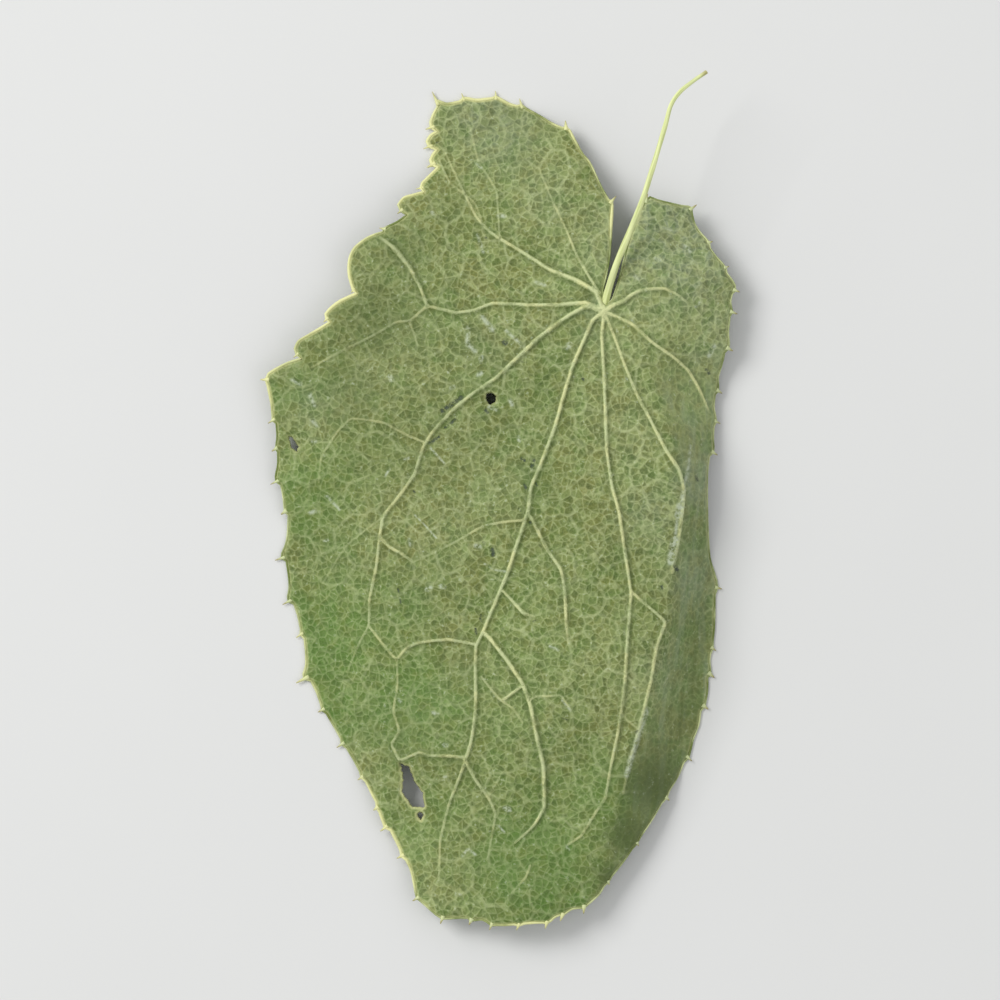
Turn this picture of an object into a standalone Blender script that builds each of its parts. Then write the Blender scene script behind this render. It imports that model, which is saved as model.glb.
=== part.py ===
"""A dried leaflet with its stalk, lying on a flat surface, upper face up.

The blade is one sheet with a heart-shaped base and a slanting tip. Spines stand along its edge, the
main veins fan out from the joint, and a raised net fills the spaces between them. The right side is
folded down along a crease, and the sheet touches the surface at three low places round its weight.

Sizes are in millimetres, measured in plan from the joint where the stalk meets the blade, with +X to
the right and +Y towards the stalk. The scene itself is in metres.
"""

import math
import random

import bmesh
import bpy
import numpy as np
from mathutils import Vector
from mathutils.geometry import delaunay_2d_cdt

MM = 0.001

# Thickness of the sheet, and where its veins stand out on both faces
BLADE_THICKNESS = 0.6
NET_THICKNESS = 0.96
RIB_THICKNESS = 1.5
RIB_END_THICKNESS = 0.95
SPINE_TIP_THICKNESS = 0.4
RIB_HALF_WIDTH = 0.42
KNOT_CENTRE = (0.0, -0.6)
KNOT_RADIUS = 2.0

# The net's cells, and how near its corners come to an edge or a rib
CELL_SPACING = 1.43
CLEAR_OF_EDGE = 0.5
CLEAR_OF_RIB = 0.75
FOOT_CLEAR_OF_EDGE = 0.3
FOOT_CLEAR_OF_RIB = 0.33

# Steps along the lines that are drawn, and how close two points may lie and still be one
EDGE_STEP = 0.8
RIB_STEP = 1.15
STALK_STEP = 0.5
SAME_PLACE = 0.05
# How round a line turns at its given points: 0 for straight pieces, 1 for full curves
EDGE_ROUNDNESS = 1.0
RIB_ROUNDNESS = 0.6

SEED = 7
MOST_MISSES = 6000
SHARP_DEGREES = 40.0

# The blade's edge in plan, on each side from the notch to the blade's tip. The edge is a row of
# scallops, and each ends in a spine: the last point of a scallop is its spine's tip.
LEFT_SCALLOPS = [
    [(0.1, -0.45), (-0.35, -0.2), (-0.45, 0.4), (-0.25, 1.3), (0.1, 2.3), (0.35, 3.3), (0.45, 4.4),
     (0.5, 5.4), (0.55, 6.1), (0.8, 6.75)],
    [(0.3, 6.5), (-0.2, 7.4), (-0.9, 8.9), (-1.45, 9.6), (-1.9, 10.4), (-2.25, 11.1), (-2.55, 11.8)],
    [(-2.75, 11.3), (-3.4, 11.6), (-4.2, 12.1), (-5.1, 12.6), (-5.6, 13.3)],
    [(-5.75, 12.8), (-6.3, 12.95), (-6.85, 13.25), (-7.2, 13.8)],
    [(-7.45, 13.3), (-8.4, 13.2), (-9.0, 13.3), (-9.45, 13.65)],
    [(-9.55, 13.1), (-10.4, 12.95), (-11.0, 13.15), (-11.4, 13.75)],
    [(-11.05, 12.75), (-11.3, 12.3), (-11.5, 11.75), (-11.85, 11.25)],
    [(-11.1, 11.1), (-11.5, 10.85), (-11.75, 10.45), (-12.0, 9.95)],
    [(-11.1, 9.9), (-11.35, 9.55), (-11.5, 9.2), (-11.75, 8.7)],
    [(-11.0, 8.7), (-11.5, 8.2), (-12.05, 7.65), (-12.5, 7.25)],
    [(-11.95, 7.05), (-12.7, 6.85), (-13.3, 6.65), (-13.65, 6.2), (-13.7, 5.6)],
    [(-13.1, 5.5), (-13.7, 5.05), (-14.35, 4.75), (-14.9, 4.65)],
    [(-14.65, 4.4), (-15.4, 4.15), (-16.0, 3.8), (-16.6, 3.25), (-16.9, 2.5), (-16.9, 1.6),
     (-16.75, 0.95), (-16.75, 0.35)],
    [(-16.4, 0.3), (-17.4, -0.15), (-18.1, -0.65), (-18.45, -1.05), (-18.6, -1.6)],
    [(-18.2, -1.6), (-19.0, -2.1), (-19.7, -2.5), (-20.25, -2.85), (-20.5, -3.35), (-20.6, -3.95)],
    [(-20.1, -4.0), (-21.0, -4.3), (-21.7, -4.65), (-22.25, -5.0), (-22.8, -5.4)],
    [(-22.3, -5.8), (-22.15, -6.5), (-22.05, -7.1), (-22.0, -7.75), (-22.3, -8.3)],
    [(-21.75, -8.3), (-21.7, -9.1), (-21.75, -9.65), (-22.05, -10.15)],
    [(-21.65, -10.2), (-21.65, -11.0), (-21.8, -11.8), (-22.15, -12.35)],
    [(-21.45, -12.4), (-21.3, -13.2), (-21.25, -13.8), (-21.45, -14.35)],
    [(-20.95, -14.4), (-21.0, -15.4), (-21.15, -16.3), (-21.4, -16.95), (-21.85, -17.4)],
    [(-21.1, -17.45), (-20.95, -18.4), (-20.9, -19.2), (-21.0, -19.8), (-21.35, -20.35)],
    [(-20.6, -20.3), (-20.35, -21.0), (-20.15, -21.9), (-20.45, -22.55)],
    [(-19.9, -22.6), (-19.8, -23.5), (-19.8, -24.4), (-19.95, -24.95), (-20.45, -25.55)],
    [(-19.45, -25.4), (-19.1, -26.1), (-18.8, -26.95), (-19.0, -27.5)],
    [(-18.4, -27.6), (-17.9, -28.5), (-17.5, -29.2), (-17.75, -29.85)],
    [(-17.1, -29.9), (-16.6, -30.7), (-16.2, -31.4), (-16.35, -32.0)],
    [(-15.8, -32.1), (-15.4, -32.9), (-15.1, -33.45), (-15.3, -34.0)],
    [(-14.9, -34.1), (-14.65, -34.8), (-14.85, -35.4)],
    [(-14.15, -35.3), (-13.8, -36.0), (-13.5, -36.65), (-13.75, -37.2)],
    [(-13.1, -37.3), (-12.8, -38.0), (-12.6, -38.9), (-12.5, -39.45), (-12.7, -40.0)],
    [(-12.1, -40.05), (-11.6, -40.5), (-11.15, -40.9), (-10.85, -41.5)],
]
RIGHT_SCALLOPS = [
    [(0.1, -0.45), (0.65, -0.1), (0.95, 0.6), (1.25, 1.6), (1.5, 2.6), (1.8, 3.8), (2.15, 5.0),
     (2.5, 6.0), (2.9, 6.9)],
    [(3.05, 6.7), (3.6, 6.5), (4.4, 6.3), (5.1, 6.15), (5.6, 6.1), (6.15, 6.2)],
    [(5.85, 5.65), (6.0, 5.0), (6.35, 4.4), (6.7, 4.0), (7.2, 3.75)],
    [(7.05, 3.3), (7.4, 2.8), (7.8, 2.35), (8.3, 2.1)],
    [(8.15, 1.65), (8.5, 1.2), (8.7, 0.85), (9.0, 0.4)],
    [(8.5, 0.25), (8.4, -0.2), (8.45, -0.6), (8.85, -1.05)],
    [(8.35, -1.2), (8.25, -2.2), (8.3, -2.95), (8.55, -3.5)],
    [(8.0, -3.6), (7.8, -4.5), (7.6, -5.2), (7.6, -5.75), (7.85, -6.3)],
    [(7.4, -6.4), (7.3, -7.2), (7.4, -7.75), (7.75, -8.3)],
    [(7.3, -8.5), (7.25, -9.3), (7.3, -9.85), (7.55, -10.4)],
    [(7.0, -10.5), (6.88, -11.4), (6.85, -12.8), (6.88, -14.4), (6.95, -16.0), (7.05, -17.2),
     (7.3, -18.1), (7.5, -18.7), (7.85, -19.3)],
    [(7.4, -19.7), (7.38, -20.8), (7.35, -21.9), (7.25, -22.8), (7.45, -23.4)],
    [(7.1, -23.6), (7.05, -24.1), (7.1, -24.6), (7.35, -25.2)],
    [(6.9, -25.2), (6.9, -26.0), (6.8, -26.7), (6.95, -27.3)],
    [(6.45, -27.4), (6.3, -28.4), (5.95, -29.3), (5.75, -30.1), (5.85, -30.75)],
    [(5.35, -30.8), (4.9, -31.8), (4.35, -32.7), (4.35, -33.35)],
    [(3.85, -33.5), (3.2, -34.6), (2.45, -35.7), (2.3, -36.35)],
    [(1.9, -36.5), (1.2, -37.5), (0.55, -38.3), (0.35, -38.95)],
    [(0.0, -39.0), (-0.3, -39.5), (-0.65, -39.85), (-1.0, -40.15), (-1.35, -40.8)],
    [(-1.65, -40.45), (-2.1, -40.5), (-2.5, -40.75), (-2.9, -41.3)],
    [(-2.95, -40.9), (-3.3, -41.05), (-3.5, -41.25), (-3.9, -41.8)],
    [(-4.05, -41.4), (-4.7, -41.4), (-5.3, -41.45), (-5.8, -41.9)],
    [(-5.95, -41.5), (-6.5, -41.55), (-7.1, -41.55), (-7.6, -41.9)],
    [(-7.75, -41.35), (-8.1, -41.2), (-8.5, -41.25), (-8.95, -41.55)],
    [(-9.05, -41.1), (-9.6, -41.1), (-10.2, -41.15), (-10.85, -41.5)],
]

# Holes that insects and handling have left, as outlines in plan
HOLES = [
    [(-13.5, -30.9), (-12.9, -31.1), (-12.6, -32.0), (-12.0, -32.8), (-11.9, -33.8), (-12.7, -33.7),
     (-13.4, -32.8), (-13.3, -31.8)],
    [(-7.8, -6.4), (-7.5, -6.3), (-7.2, -6.5), (-7.2, -6.9), (-7.5, -7.1), (-7.8, -6.8)],
    [(-20.9, -9.2), (-20.6, -9.3), (-20.3, -9.9), (-20.4, -10.2), (-20.7, -9.9)],
]

# The main veins: how strong each is at its root and at its end, from 0 to 1, and its line in plan
RIBS = {
    "midrib": ((1.0, 0.45), [(0.0, -0.9), (-1.4, -2.9), (-2.6, -6.5), (-3.4, -9.0), (-5.1, -14.2),
                             (-6.3, -18.2), (-8.1, -22.2), (-8.5, -27.2), (-9.3, -30.9), (-10.4, -36.5),
                             (-10.8, -40.4)]),
    "midrib_fork": ((0.6, 0.2), [(-5.1, -14.2), (-3.5, -17.0), (-2.7, -19.6), (-2.7, -22.0)]),
    "midrib_branch": ((0.7, 0.2), [(-8.1, -22.2), (-6.4, -24.1), (-4.9, -26.5), (-4.0, -31.0),
                                   (-4.1, -34.3), (-5.3, -35.8)]),
    "right_rib": ((1.0, 0.3), [(0.0, -0.9), (-0.1, -4.0), (0.0, -6.5), (0.3, -11.0), (1.2, -16.5),
                               (1.5, -21.7), (1.1, -27.6), (0.4, -31.4), (-0.2, -33.4), (-1.8, -35.8)]),
    "right_rib_fork": ((0.6, 0.3), [(1.5, -19.5), (2.6, -20.2), (3.9, -21.4), (3.4, -23.0), (3.0, -25.3),
                                    (2.3, -28.3), (1.7, -30.5), (1.2, -32.8)]),
    "fold_rib": ((0.9, 0.3), [(0.0, -0.9), (1.3, -4.3), (2.8, -7.9), (4.3, -11.0), (5.1, -13.2),
                              (4.8, -16.0), (4.4, -18.6)]),
    "right_lobe_rib": ((0.8, 0.2), [(0.0, -0.9), (1.8, -1.9), (3.6, -3.4), (6.0, -5.4), (6.9, -7.6)]),
    "right_lobe_vein": ((0.6, 0.2), [(0.0, -0.9), (1.9, 0.1), (4.2, 0.9), (6.4, 0.2)]),
    "left_rib": ((1.0, 0.3), [(0.0, -0.9), (-2.1, -1.3), (-5.4, -3.9), (-8.2, -6.1), (-11.0, -8.7),
                              (-12.5, -11.6), (-14.6, -14.8), (-15.1, -17.6), (-15.6, -21.6),
                              (-17.0, -24.8)]),
    "left_rib_loop": ((0.5, 0.3), [(-15.6, -21.6), (-13.8, -23.9), (-11.0, -22.6), (-8.4, -23.0)]),
    "left_rib_branch": ((0.5, 0.2), [(-13.8, -23.9), (-14.0, -28.6), (-13.4, -30.6)]),
    "left_rib_arch": ((0.5, 0.2), [(-12.0, -9.6), (-13.9, -8.4), (-16.5, -8.0), (-18.4, -9.8),
                                   (-18.9, -12.2)]),
    "side_rib": ((0.9, 0.2), [(0.0, -0.9), (-3.8, -0.4), (-7.6, -0.4), (-9.6, -1.0), (-11.7, -0.6),
                              (-13.4, -1.7), (-15.4, -2.6), (-18.1, -3.9), (-20.4, -4.9)]),
    "side_rib_fork": ((0.5, 0.2), [(-11.7, -0.6), (-12.6, 1.8), (-14.6, 3.8)]),
    "lobe_rib": ((0.9, 0.2), [(0.0, -0.9), (-0.9, 0.6), (-3.7, 1.9), (-6.8, 3.9), (-8.5, 5.5),
                              (-9.7, 7.9), (-10.6, 9.9)]),
    "lobe_vein": ((0.6, 0.2), [(-0.3, 0.3), (-1.2, 2.1), (-1.9, 2.9), (-3.0, 5.4), (-4.6, 8.8)]),
    "midrib_arch": ((0.4, 0.2), [(-5.2, -14.6), (-7.2, -14.6), (-9.4, -15.6), (-11.2, -17.1),
                                 (-12.9, -16.9), (-14.8, -15.5)]),
    "crossing_vein": ((0.3, 0.3), [(-9.2, -30.3), (-11.4, -30.0), (-13.2, -30.2)]),
}

# How the sheet lies: heights of its middle surface at chosen places in plan, before the fold. Those
# below half the blade's thickness are where it is pressed flat on the surface.
LIE = [
    (0.0, 0.0, 3.2), (-4.0, -9.0, 3.7), (-4.0, -20.0, 3.7), (-5.0, -30.0, 3.0), (-8.0, -37.0, 2.0),
    (-10.8, -41.0, 1.9), (-1.0, -38.0, 2.2), (5.0, -12.0, 3.9), (4.0, -21.0, 3.8), (2.0, -30.0, 3.1),
    (-12.0, -10.0, 2.6), (-12.0, -20.0, 2.6), (-13.0, -30.0, 1.7), (-22.0, -5.0, 1.3),
    (-21.5, -12.0, 0.7), (-20.5, -23.0, -0.4), (-16.5, -31.0, 0.6), (-13.0, -38.0, 1.3),
    (-9.0, 6.0, 2.0), (-9.0, 13.0, -0.5), (-3.0, 9.0, 1.7), (-15.5, 3.0, 1.7), (-11.5, 10.0, 0.3),
    (4.0, 3.0, 2.9), (7.0, 6.0, 1.6), (8.5, 0.0, 2.3), (9.0, -15.0, 3.7), (8.0, -26.0, 3.2),
]
STIFFNESS = 4.0
# The crease in plan, and the slope of the sheet past it at places along Y
CREASE = [(2.0, -3.0), (4.1, -9.0), (5.0, -12.8), (4.7, -16.0), (4.1, -21.0), (3.2, -25.5),
          (2.1, -29.4), (0.9, -33.6), (-0.6, -39.4)]
FOLD_SLOPES = [(1.0, 0.0), (-3.0, 0.12), (-8.0, 0.85), (-13.0, 1.2), (-19.0, 1.42), (-25.0, 1.2),
               (-32.0, 0.75), (-39.0, 0.35), (-42.0, 0.3)]
FOLD_ROUNDING = 0.5
# Slow puckers of the dry sheet: (waves per mm along x, along y, phase, height)
PUCKERS = [(0.075, 0.035, 0.4, 0.20), (-0.045, 0.085, 1.9, 0.16), (0.13, -0.11, 3.1, 0.07)]

# The stalk: its centre line, with heights, and its radius at the joint and at its end
STALK_LINE = [
    (0.13, 0.0, 3.2), (0.72, 2.0, 3.75), (1.55, 4.0, 4.15), (2.35, 6.0, 4.45), (2.95, 7.8, 4.65),
    (3.45, 9.4, 4.8), (4.0, 11.3, 4.9), (4.35, 12.6, 5.0), (4.95, 13.5, 4.95), (5.8, 14.2, 4.85),
    (6.8, 14.9, 4.7),
]
STALK_RADIUS = 0.38
STALK_END_RADIUS = 0.3

BLADE_COLOUR = (0.225, 0.285, 0.110, 1.0)
STALK_COLOUR = (0.560, 0.600, 0.250, 1.0)


def clear_scene():
    for obj in list(bpy.data.objects):
        bpy.data.objects.remove(obj)


def material(name, colour, roughness):
    made = bpy.data.materials.new(name)
    made.use_nodes = True
    shader = made.node_tree.nodes["Principled BSDF"]
    shader.inputs["Base Color"].default_value = colour
    shader.inputs["Roughness"].default_value = roughness
    shader.inputs["Metallic"].default_value = 0.0
    made.diffuse_color = colour
    return made


def smooth_line(points, step, roundness=EDGE_ROUNDNESS):
    """Points about one step apart on a smooth curve through the given points."""
    given = np.array(points, float)
    tangents = np.gradient(given, axis=0) * roundness
    t = np.arange(0.0, 1.0, 1 / 24)[:, None]
    dense = []
    for a, b, ta, tb in zip(given[:-1], given[1:], tangents[:-1], tangents[1:]):
        dense.append(
            (2 * t**3 - 3 * t**2 + 1) * a
            + (t**3 - 2 * t**2 + t) * ta
            + (3 * t**2 - 2 * t**3) * b
            + (t**3 - t**2) * tb
        )
    dense = np.vstack(dense + [given[-1:]])
    along = np.concatenate([[0.0], np.cumsum(np.linalg.norm(np.diff(dense, axis=0), axis=1))])
    count = max(2, round(along[-1] / step) + 1)
    stations = np.linspace(0.0, along[-1], count)
    return np.column_stack([np.interp(stations, along, dense[:, k]) for k in range(dense.shape[1])])


def outline_of_blade():
    """The blade's edge as a closed line, and the tips of its spines."""
    sides = [[], []]
    for side, scallops in zip(sides, (LEFT_SCALLOPS, RIGHT_SCALLOPS)):
        for scallop in scallops:
            side += [*smooth_line(scallop[:-1], EDGE_STEP), np.array(scallop[-1])]
    left, right = sides
    tips = np.array([scallop[-1] for scallop in LEFT_SCALLOPS + RIGHT_SCALLOPS[:-1]])
    return np.array(left + right[-2:0:-1]), tips


def distances(points, line, closed=False):
    """The distance of each point to the nearest piece of a line, and how far along that line it is."""
    ends = np.vstack([line, line[:1]]) if closed else line
    starts, along = ends[:-1], ends[1:] - ends[:-1]
    best = np.full(len(points), np.inf)
    share = np.zeros(len(points))
    for k, (a, d) in enumerate(zip(starts, along)):
        t = np.clip((points - a) @ d / max(d @ d, 1e-9), 0.0, 1.0)
        gap = np.linalg.norm(points - a - t[:, None] * d, axis=1)
        nearer = gap < best
        best[nearer] = gap[nearer]
        share[nearer] = (k + t[nearer]) / len(along)
    return best, share


def inside(points, outline):
    """Whether each point lies inside a closed outline, by counting the edges that a ray crosses."""
    x, y = points[:, 0], points[:, 1]
    crossed = np.zeros(len(points), bool)
    for (x0, y0), (x1, y1) in zip(outline, np.roll(outline, -1, axis=0)):
        spans = (y0 > y) != (y1 > y)
        reach = x0 + (y - y0) * (x1 - x0) / (y1 - y0 if y1 != y0 else 1e-9)
        crossed ^= spans & (x < reach)
    return crossed


def cell_centres(outline, chance):
    """The middles of the net's cells: random points that keep their distance from each other."""
    low, high = outline.min(axis=0), outline.max(axis=0)
    centres = []
    misses = 0
    while misses < MOST_MISSES:
        candidate = np.array([chance.uniform(low[0], high[0]), chance.uniform(low[1], high[1])])
        if centres and np.linalg.norm(np.array(centres) - candidate, axis=1).min() < CELL_SPACING:
            misses += 1
            continue
        centres.append(candidate)
    return np.array(centres)


def net_of(centres):
    """The net between the cells: its corners, one in each triangle of centres, and its threads, one
    across each side that two triangles share."""
    triangles = delaunay_2d_cdt([Vector(c) for c in centres], [], [], 0, 1e-6)[2]
    corners = np.array([centres[list(triangle)].mean(axis=0) for triangle in triangles])
    sides = {}
    for index, (a, b, c) in enumerate(triangles):
        for side in ((a, b), (b, c), (c, a)):
            sides.setdefault(frozenset(side), []).append(index)
    return corners, [tuple(pair) for pair in sides.values() if len(pair) == 2]


def rib_lines():
    return {name: smooth_line(points, RIB_STEP, RIB_ROUNDNESS) for name, (_, points) in RIBS.items()}


def flanks_of(line):
    """The two feet of a rib, on either side of its crest."""
    ahead = np.gradient(line, axis=0)
    ahead /= np.linalg.norm(ahead, axis=1)[:, None]
    aside = np.column_stack([-ahead[:, 1], ahead[:, 0]]) * RIB_HALF_WIDTH
    return np.vstack([(line + aside)[1:-1], (line - aside)[1:-1]])


def kept_clear(points, outline, ribs, edge_gap, rib_gap):
    """Which points are on the blade and not too near its edge, its holes or a rib."""
    keep = inside(points, outline) & (distances(points, outline, closed=True)[0] > edge_gap)
    for hole in HOLES:
        hole = np.array(hole)
        keep &= ~inside(points, hole) & (distances(points, hole, closed=True)[0] > edge_gap)
    for line in ribs.values():
        keep &= distances(points, line)[0] > rib_gap
    return keep


def thickness_at(points, ribs, corners, tips):
    """The sheet's thickness at each point: ribs and net stand out on both faces."""
    thickness = np.full(len(points), BLADE_THICKNESS)
    for places, wanted in ((corners, NET_THICKNESS), (tips, SPINE_TIP_THICKNESS)):
        nearest = np.linalg.norm(points[None] - places[:, None], axis=2).argmin(axis=1)
        thickness[nearest] = wanted
    for name, line in ribs.items():
        gap, share = distances(points, line)
        (root, end), _ = RIBS[name]
        crest = RIB_END_THICKNESS + (RIB_THICKNESS - RIB_END_THICKNESS) * (root + (end - root) * share)
        thickness = np.where(gap < SAME_PLACE, np.maximum(thickness, crest), thickness)
    from_knot = np.linalg.norm(points - np.array(KNOT_CENTRE), axis=1) / KNOT_RADIUS
    knot = RIB_THICKNESS - (RIB_THICKNESS - NET_THICKNESS) * from_knot
    return np.where(from_knot < 1.0, np.maximum(thickness, knot), thickness)


def bending(points, places):
    """How much a thin plate held at each place bends at each point."""
    apart = np.linalg.norm(points[:, None] - places[None], axis=2)
    return apart**2 * np.log(np.maximum(apart, 1e-9))


def plate_height(points):
    """The height at points in plan of a thin, slightly stiff plate laid over the stations in LIE."""
    stations = np.array(LIE)
    places, heights = stations[:, :2], stations[:, 2]
    level = np.column_stack([np.ones(len(places)), places])
    held = bending(places, places) + STIFFNESS * np.eye(len(places))
    system = np.block([[held, level], [level.T, np.zeros((3, 3))]])
    weights = np.linalg.solve(system, np.concatenate([heights, np.zeros(3)]))
    return bending(points, places) @ weights[:-3] + weights[-3] + points @ weights[-2:]


def height_at(points):
    """The height of the sheet's middle surface at points in plan."""
    height = plate_height(points)
    for along_x, along_y, phase, size in PUCKERS:
        height += size * np.sin(2 * math.pi * (points @ np.array([along_x, along_y])) + phase)
    crease = smooth_line(CREASE, 1.0)[::-1]
    past = points[:, 0] - np.interp(points[:, 1], crease[:, 1], crease[:, 0])
    rounded = 0.5 * (past + np.sqrt(past**2 + FOLD_ROUNDING**2))
    slopes = smooth_line(FOLD_SLOPES, 0.5)[::-1]
    height -= np.interp(points[:, 1], slopes[:, 0], slopes[:, 1]) * rounded
    return np.maximum(height, BLADE_THICKNESS / 2)


def sheet_of(outline, tips, ribs, chance):
    """The blade's middle surface as triangles, with the thickness wanted at each corner."""
    centres = cell_centres(outline, chance)
    corners, threads = net_of(centres)
    on_blade = kept_clear(corners, outline, ribs, CLEAR_OF_EDGE, CLEAR_OF_RIB)
    centres = centres[kept_clear(centres, outline, ribs, CLEAR_OF_EDGE, CLEAR_OF_RIB)]
    feet = np.vstack([flanks_of(line) for line in ribs.values()])
    feet = feet[kept_clear(feet, outline, ribs, FOOT_CLEAR_OF_EDGE, FOOT_CLEAR_OF_RIB)]
    rings = [outline] + [np.array(hole) for hole in HOLES]
    points, edges = [], []
    for ring in rings:
        first = len(points)
        points += list(ring)
        edges += [(first + k, first + (k + 1) % len(ring)) for k in range(len(ring))]
    for line in ribs.values():
        first = len(points)
        points += list(line)
        edges += [(first + k, first + k + 1) for k in range(len(line) - 1)]
    number = {}
    for k in np.flatnonzero(on_blade):
        number[k] = len(points)
        points.append(corners[k])
    edges += [(number[a], number[b]) for a, b in threads if a in number and b in number]
    points += list(centres) + list(feet)
    made, _, faces, *_ = delaunay_2d_cdt([Vector(p) for p in points], edges, [], 0, 1e-4)
    plan = np.array([tuple(p) for p in made])
    middles = np.array([plan[list(face)].mean(axis=0) for face in faces])
    keep = inside(middles, outline)
    for hole in rings[1:]:
        keep &= ~inside(middles, hole)
    faces = [face for face, wanted in zip(faces, keep) if wanted]
    return plan, faces, thickness_at(plan, ribs, corners[on_blade], tips)


def mesh_of_sheet(plan, faces, thickness):
    """The blade's object: the open sheet in space, with a Solidify that follows the thickness."""
    heights = height_at(plan)
    mesh = bpy.data.meshes.new("blade")
    made = bmesh.new()
    corners = [made.verts.new((x * MM, y * MM, z * MM)) for (x, y), z in zip(plan, heights)]
    for face in faces:
        made.faces.new([corners[k] for k in face])
    for loose in [v for v in made.verts if not v.link_faces]:
        made.verts.remove(loose)
    bmesh.ops.recalc_face_normals(made, faces=made.faces)
    if sum(face.normal.z for face in made.faces) < 0:
        bmesh.ops.reverse_faces(made, faces=made.faces)
    used = sorted({k for face in faces for k in face})
    made.to_mesh(mesh)
    made.free()
    blade = bpy.data.objects.new("blade", mesh)
    group = blade.vertex_groups.new(name="thickness")
    for index, k in enumerate(used):
        group.add([index], float(thickness[k] / RIB_THICKNESS), "REPLACE")
    solid = blade.modifiers.new("Thickness", "SOLIDIFY")
    solid.thickness = RIB_THICKNESS * MM
    solid.offset = 0.0
    solid.vertex_group = "thickness"
    return blade


def press_flat(blade):
    """Applies the thickness and levels what reaches below the surface that the leaf lies on."""
    graph = bpy.context.evaluated_depsgraph_get()
    thick = bpy.data.meshes.new_from_object(blade.evaluated_get(graph))
    blade.modifiers.clear()
    blade.data = thick
    for vertex in thick.vertices:
        vertex.co.z = max(vertex.co.z, 0.0)
    thick.shade_smooth()
    thick.set_sharp_from_angle(angle=math.radians(SHARP_DEGREES))
    blade.vertex_groups.clear()


def make_blade(parts):
    chance = random.Random(SEED)
    outline, tips = outline_of_blade()
    blade = mesh_of_sheet(*sheet_of(outline, tips, rib_lines(), chance))
    parts.objects.link(blade)
    press_flat(blade)
    blade.data.materials.append(material("blade_green", BLADE_COLOUR, 0.62))
    return blade


def make_stalk(parts):
    line = smooth_line(STALK_LINE, STALK_STEP)
    curve = bpy.data.curves.new("stalk", "CURVE")
    curve.dimensions = "3D"
    curve.bevel_depth = STALK_RADIUS * MM
    curve.bevel_resolution = 3
    curve.use_fill_caps = True
    spline = curve.splines.new("POLY")
    spline.points.add(len(line) - 1)
    shares = np.linspace(0.0, 1.0, len(line))
    for point, place, share in zip(spline.points, line, shares):
        point.co = (*(place * MM), 1.0)
        point.radius = 1.0 - share * (1.0 - STALK_END_RADIUS / STALK_RADIUS)
    stalk = bpy.data.objects.new("stalk", curve)
    parts.objects.link(stalk)
    curve.materials.append(material("stalk_pale", STALK_COLOUR, 0.55))
    return stalk


def centre_on_origin(objects):
    """Moves the leaf so that the middle of its plan is over the origin."""
    bpy.context.view_layer.update()
    graph = bpy.context.evaluated_depsgraph_get()
    reach = np.vstack([
        [tuple(vertex.co) for vertex in obj.evaluated_get(graph).to_mesh().vertices]
        for obj in objects
    ])
    middle = (reach.min(axis=0) + reach.max(axis=0)) / 2
    for obj in objects:
        obj.location = (-middle[0], -middle[1], 0.0)


def main():
    clear_scene()
    parts = bpy.data.collections.new("dried_horny_goat_weed")
    bpy.context.scene.collection.children.link(parts)
    centre_on_origin([make_blade(parts), make_stalk(parts)])


main()
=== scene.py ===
"""A dried leaflet with its stalk: its pieces and materials, with the light, the floor and the camera.

The blade is a thin sheet with raised veins and a raised net on both faces. A pale rim runs along its
edge, hooked spines stand on the rim, and a thin grooved stalk grows out of the joint at its notch.

Lines in plan are in millimetres, measured from the joint, with +X to the right and +Y towards the
stalk. The scene itself is in metres.
"""

import math
import random

import bpy
import numpy as np
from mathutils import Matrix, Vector, kdtree, noise
from mathutils.geometry import delaunay_2d_cdt


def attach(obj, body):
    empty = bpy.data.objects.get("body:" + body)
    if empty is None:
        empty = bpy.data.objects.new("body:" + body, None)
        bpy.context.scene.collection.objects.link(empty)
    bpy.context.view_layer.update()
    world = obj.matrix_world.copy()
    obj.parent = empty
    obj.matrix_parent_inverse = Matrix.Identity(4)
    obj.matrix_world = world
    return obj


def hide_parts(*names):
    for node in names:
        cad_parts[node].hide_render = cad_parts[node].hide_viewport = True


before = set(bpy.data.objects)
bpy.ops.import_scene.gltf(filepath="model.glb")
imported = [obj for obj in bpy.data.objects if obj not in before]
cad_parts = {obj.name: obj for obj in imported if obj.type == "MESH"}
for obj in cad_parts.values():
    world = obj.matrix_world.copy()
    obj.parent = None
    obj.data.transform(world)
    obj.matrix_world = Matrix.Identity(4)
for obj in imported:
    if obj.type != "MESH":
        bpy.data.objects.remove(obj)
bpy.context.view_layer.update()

bl_info = {
    "name": "Dried Leaflet",
    "version": (1, 0, 0),
    "blender": (4, 5, 0),
    "location": "3D View > Sidebar > Leaflet",
    "description": "Builds a dried leaflet with its veins, spines and stalk, and a plain stage for it",
    "category": "Add Mesh",
}

MM = 0.001
UP = (0.0, 0.0, 1.0)
BODY = "root"
SEED = 7

# Where the joint stands in the model's frame, in mm
JOINT_PLACE = np.array([6.89548254, 13.38772103, 0.0])
# The solid sheet's thickness. The thin sheet follows its lower face.
SOLID_THICKNESS = 0.6

# Steps between the points of the edge's reach, the edge, holes, veins, the net, marks and the stalk
EDGE_STEP = 0.8
MARGIN_STEP = 0.17
HOLE_STEP = 0.16
RIB_STEP = 0.2
NET_STEP = 0.2
MARK_STEP = 0.14
STALK_STEP = 0.18
# Steps between the samples of lines and strokes that distances are taken to
SAMPLE_STEP = 0.04
STROKE_STEP = 0.05
# Pieces of a smooth line between two given points, and how round it turns at them: 0 for straight
# pieces, 1 for full curves
CURVE_PIECES = 24
EDGE_ROUNDNESS = 1.0
RIB_ROUNDNESS = 0.4
# How far the sheet reaches into the foot of a spine, as a share of it, and how ragged holes are
SPINE_FOOT = 0.3
HOLE_JITTER = 0.05

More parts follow.
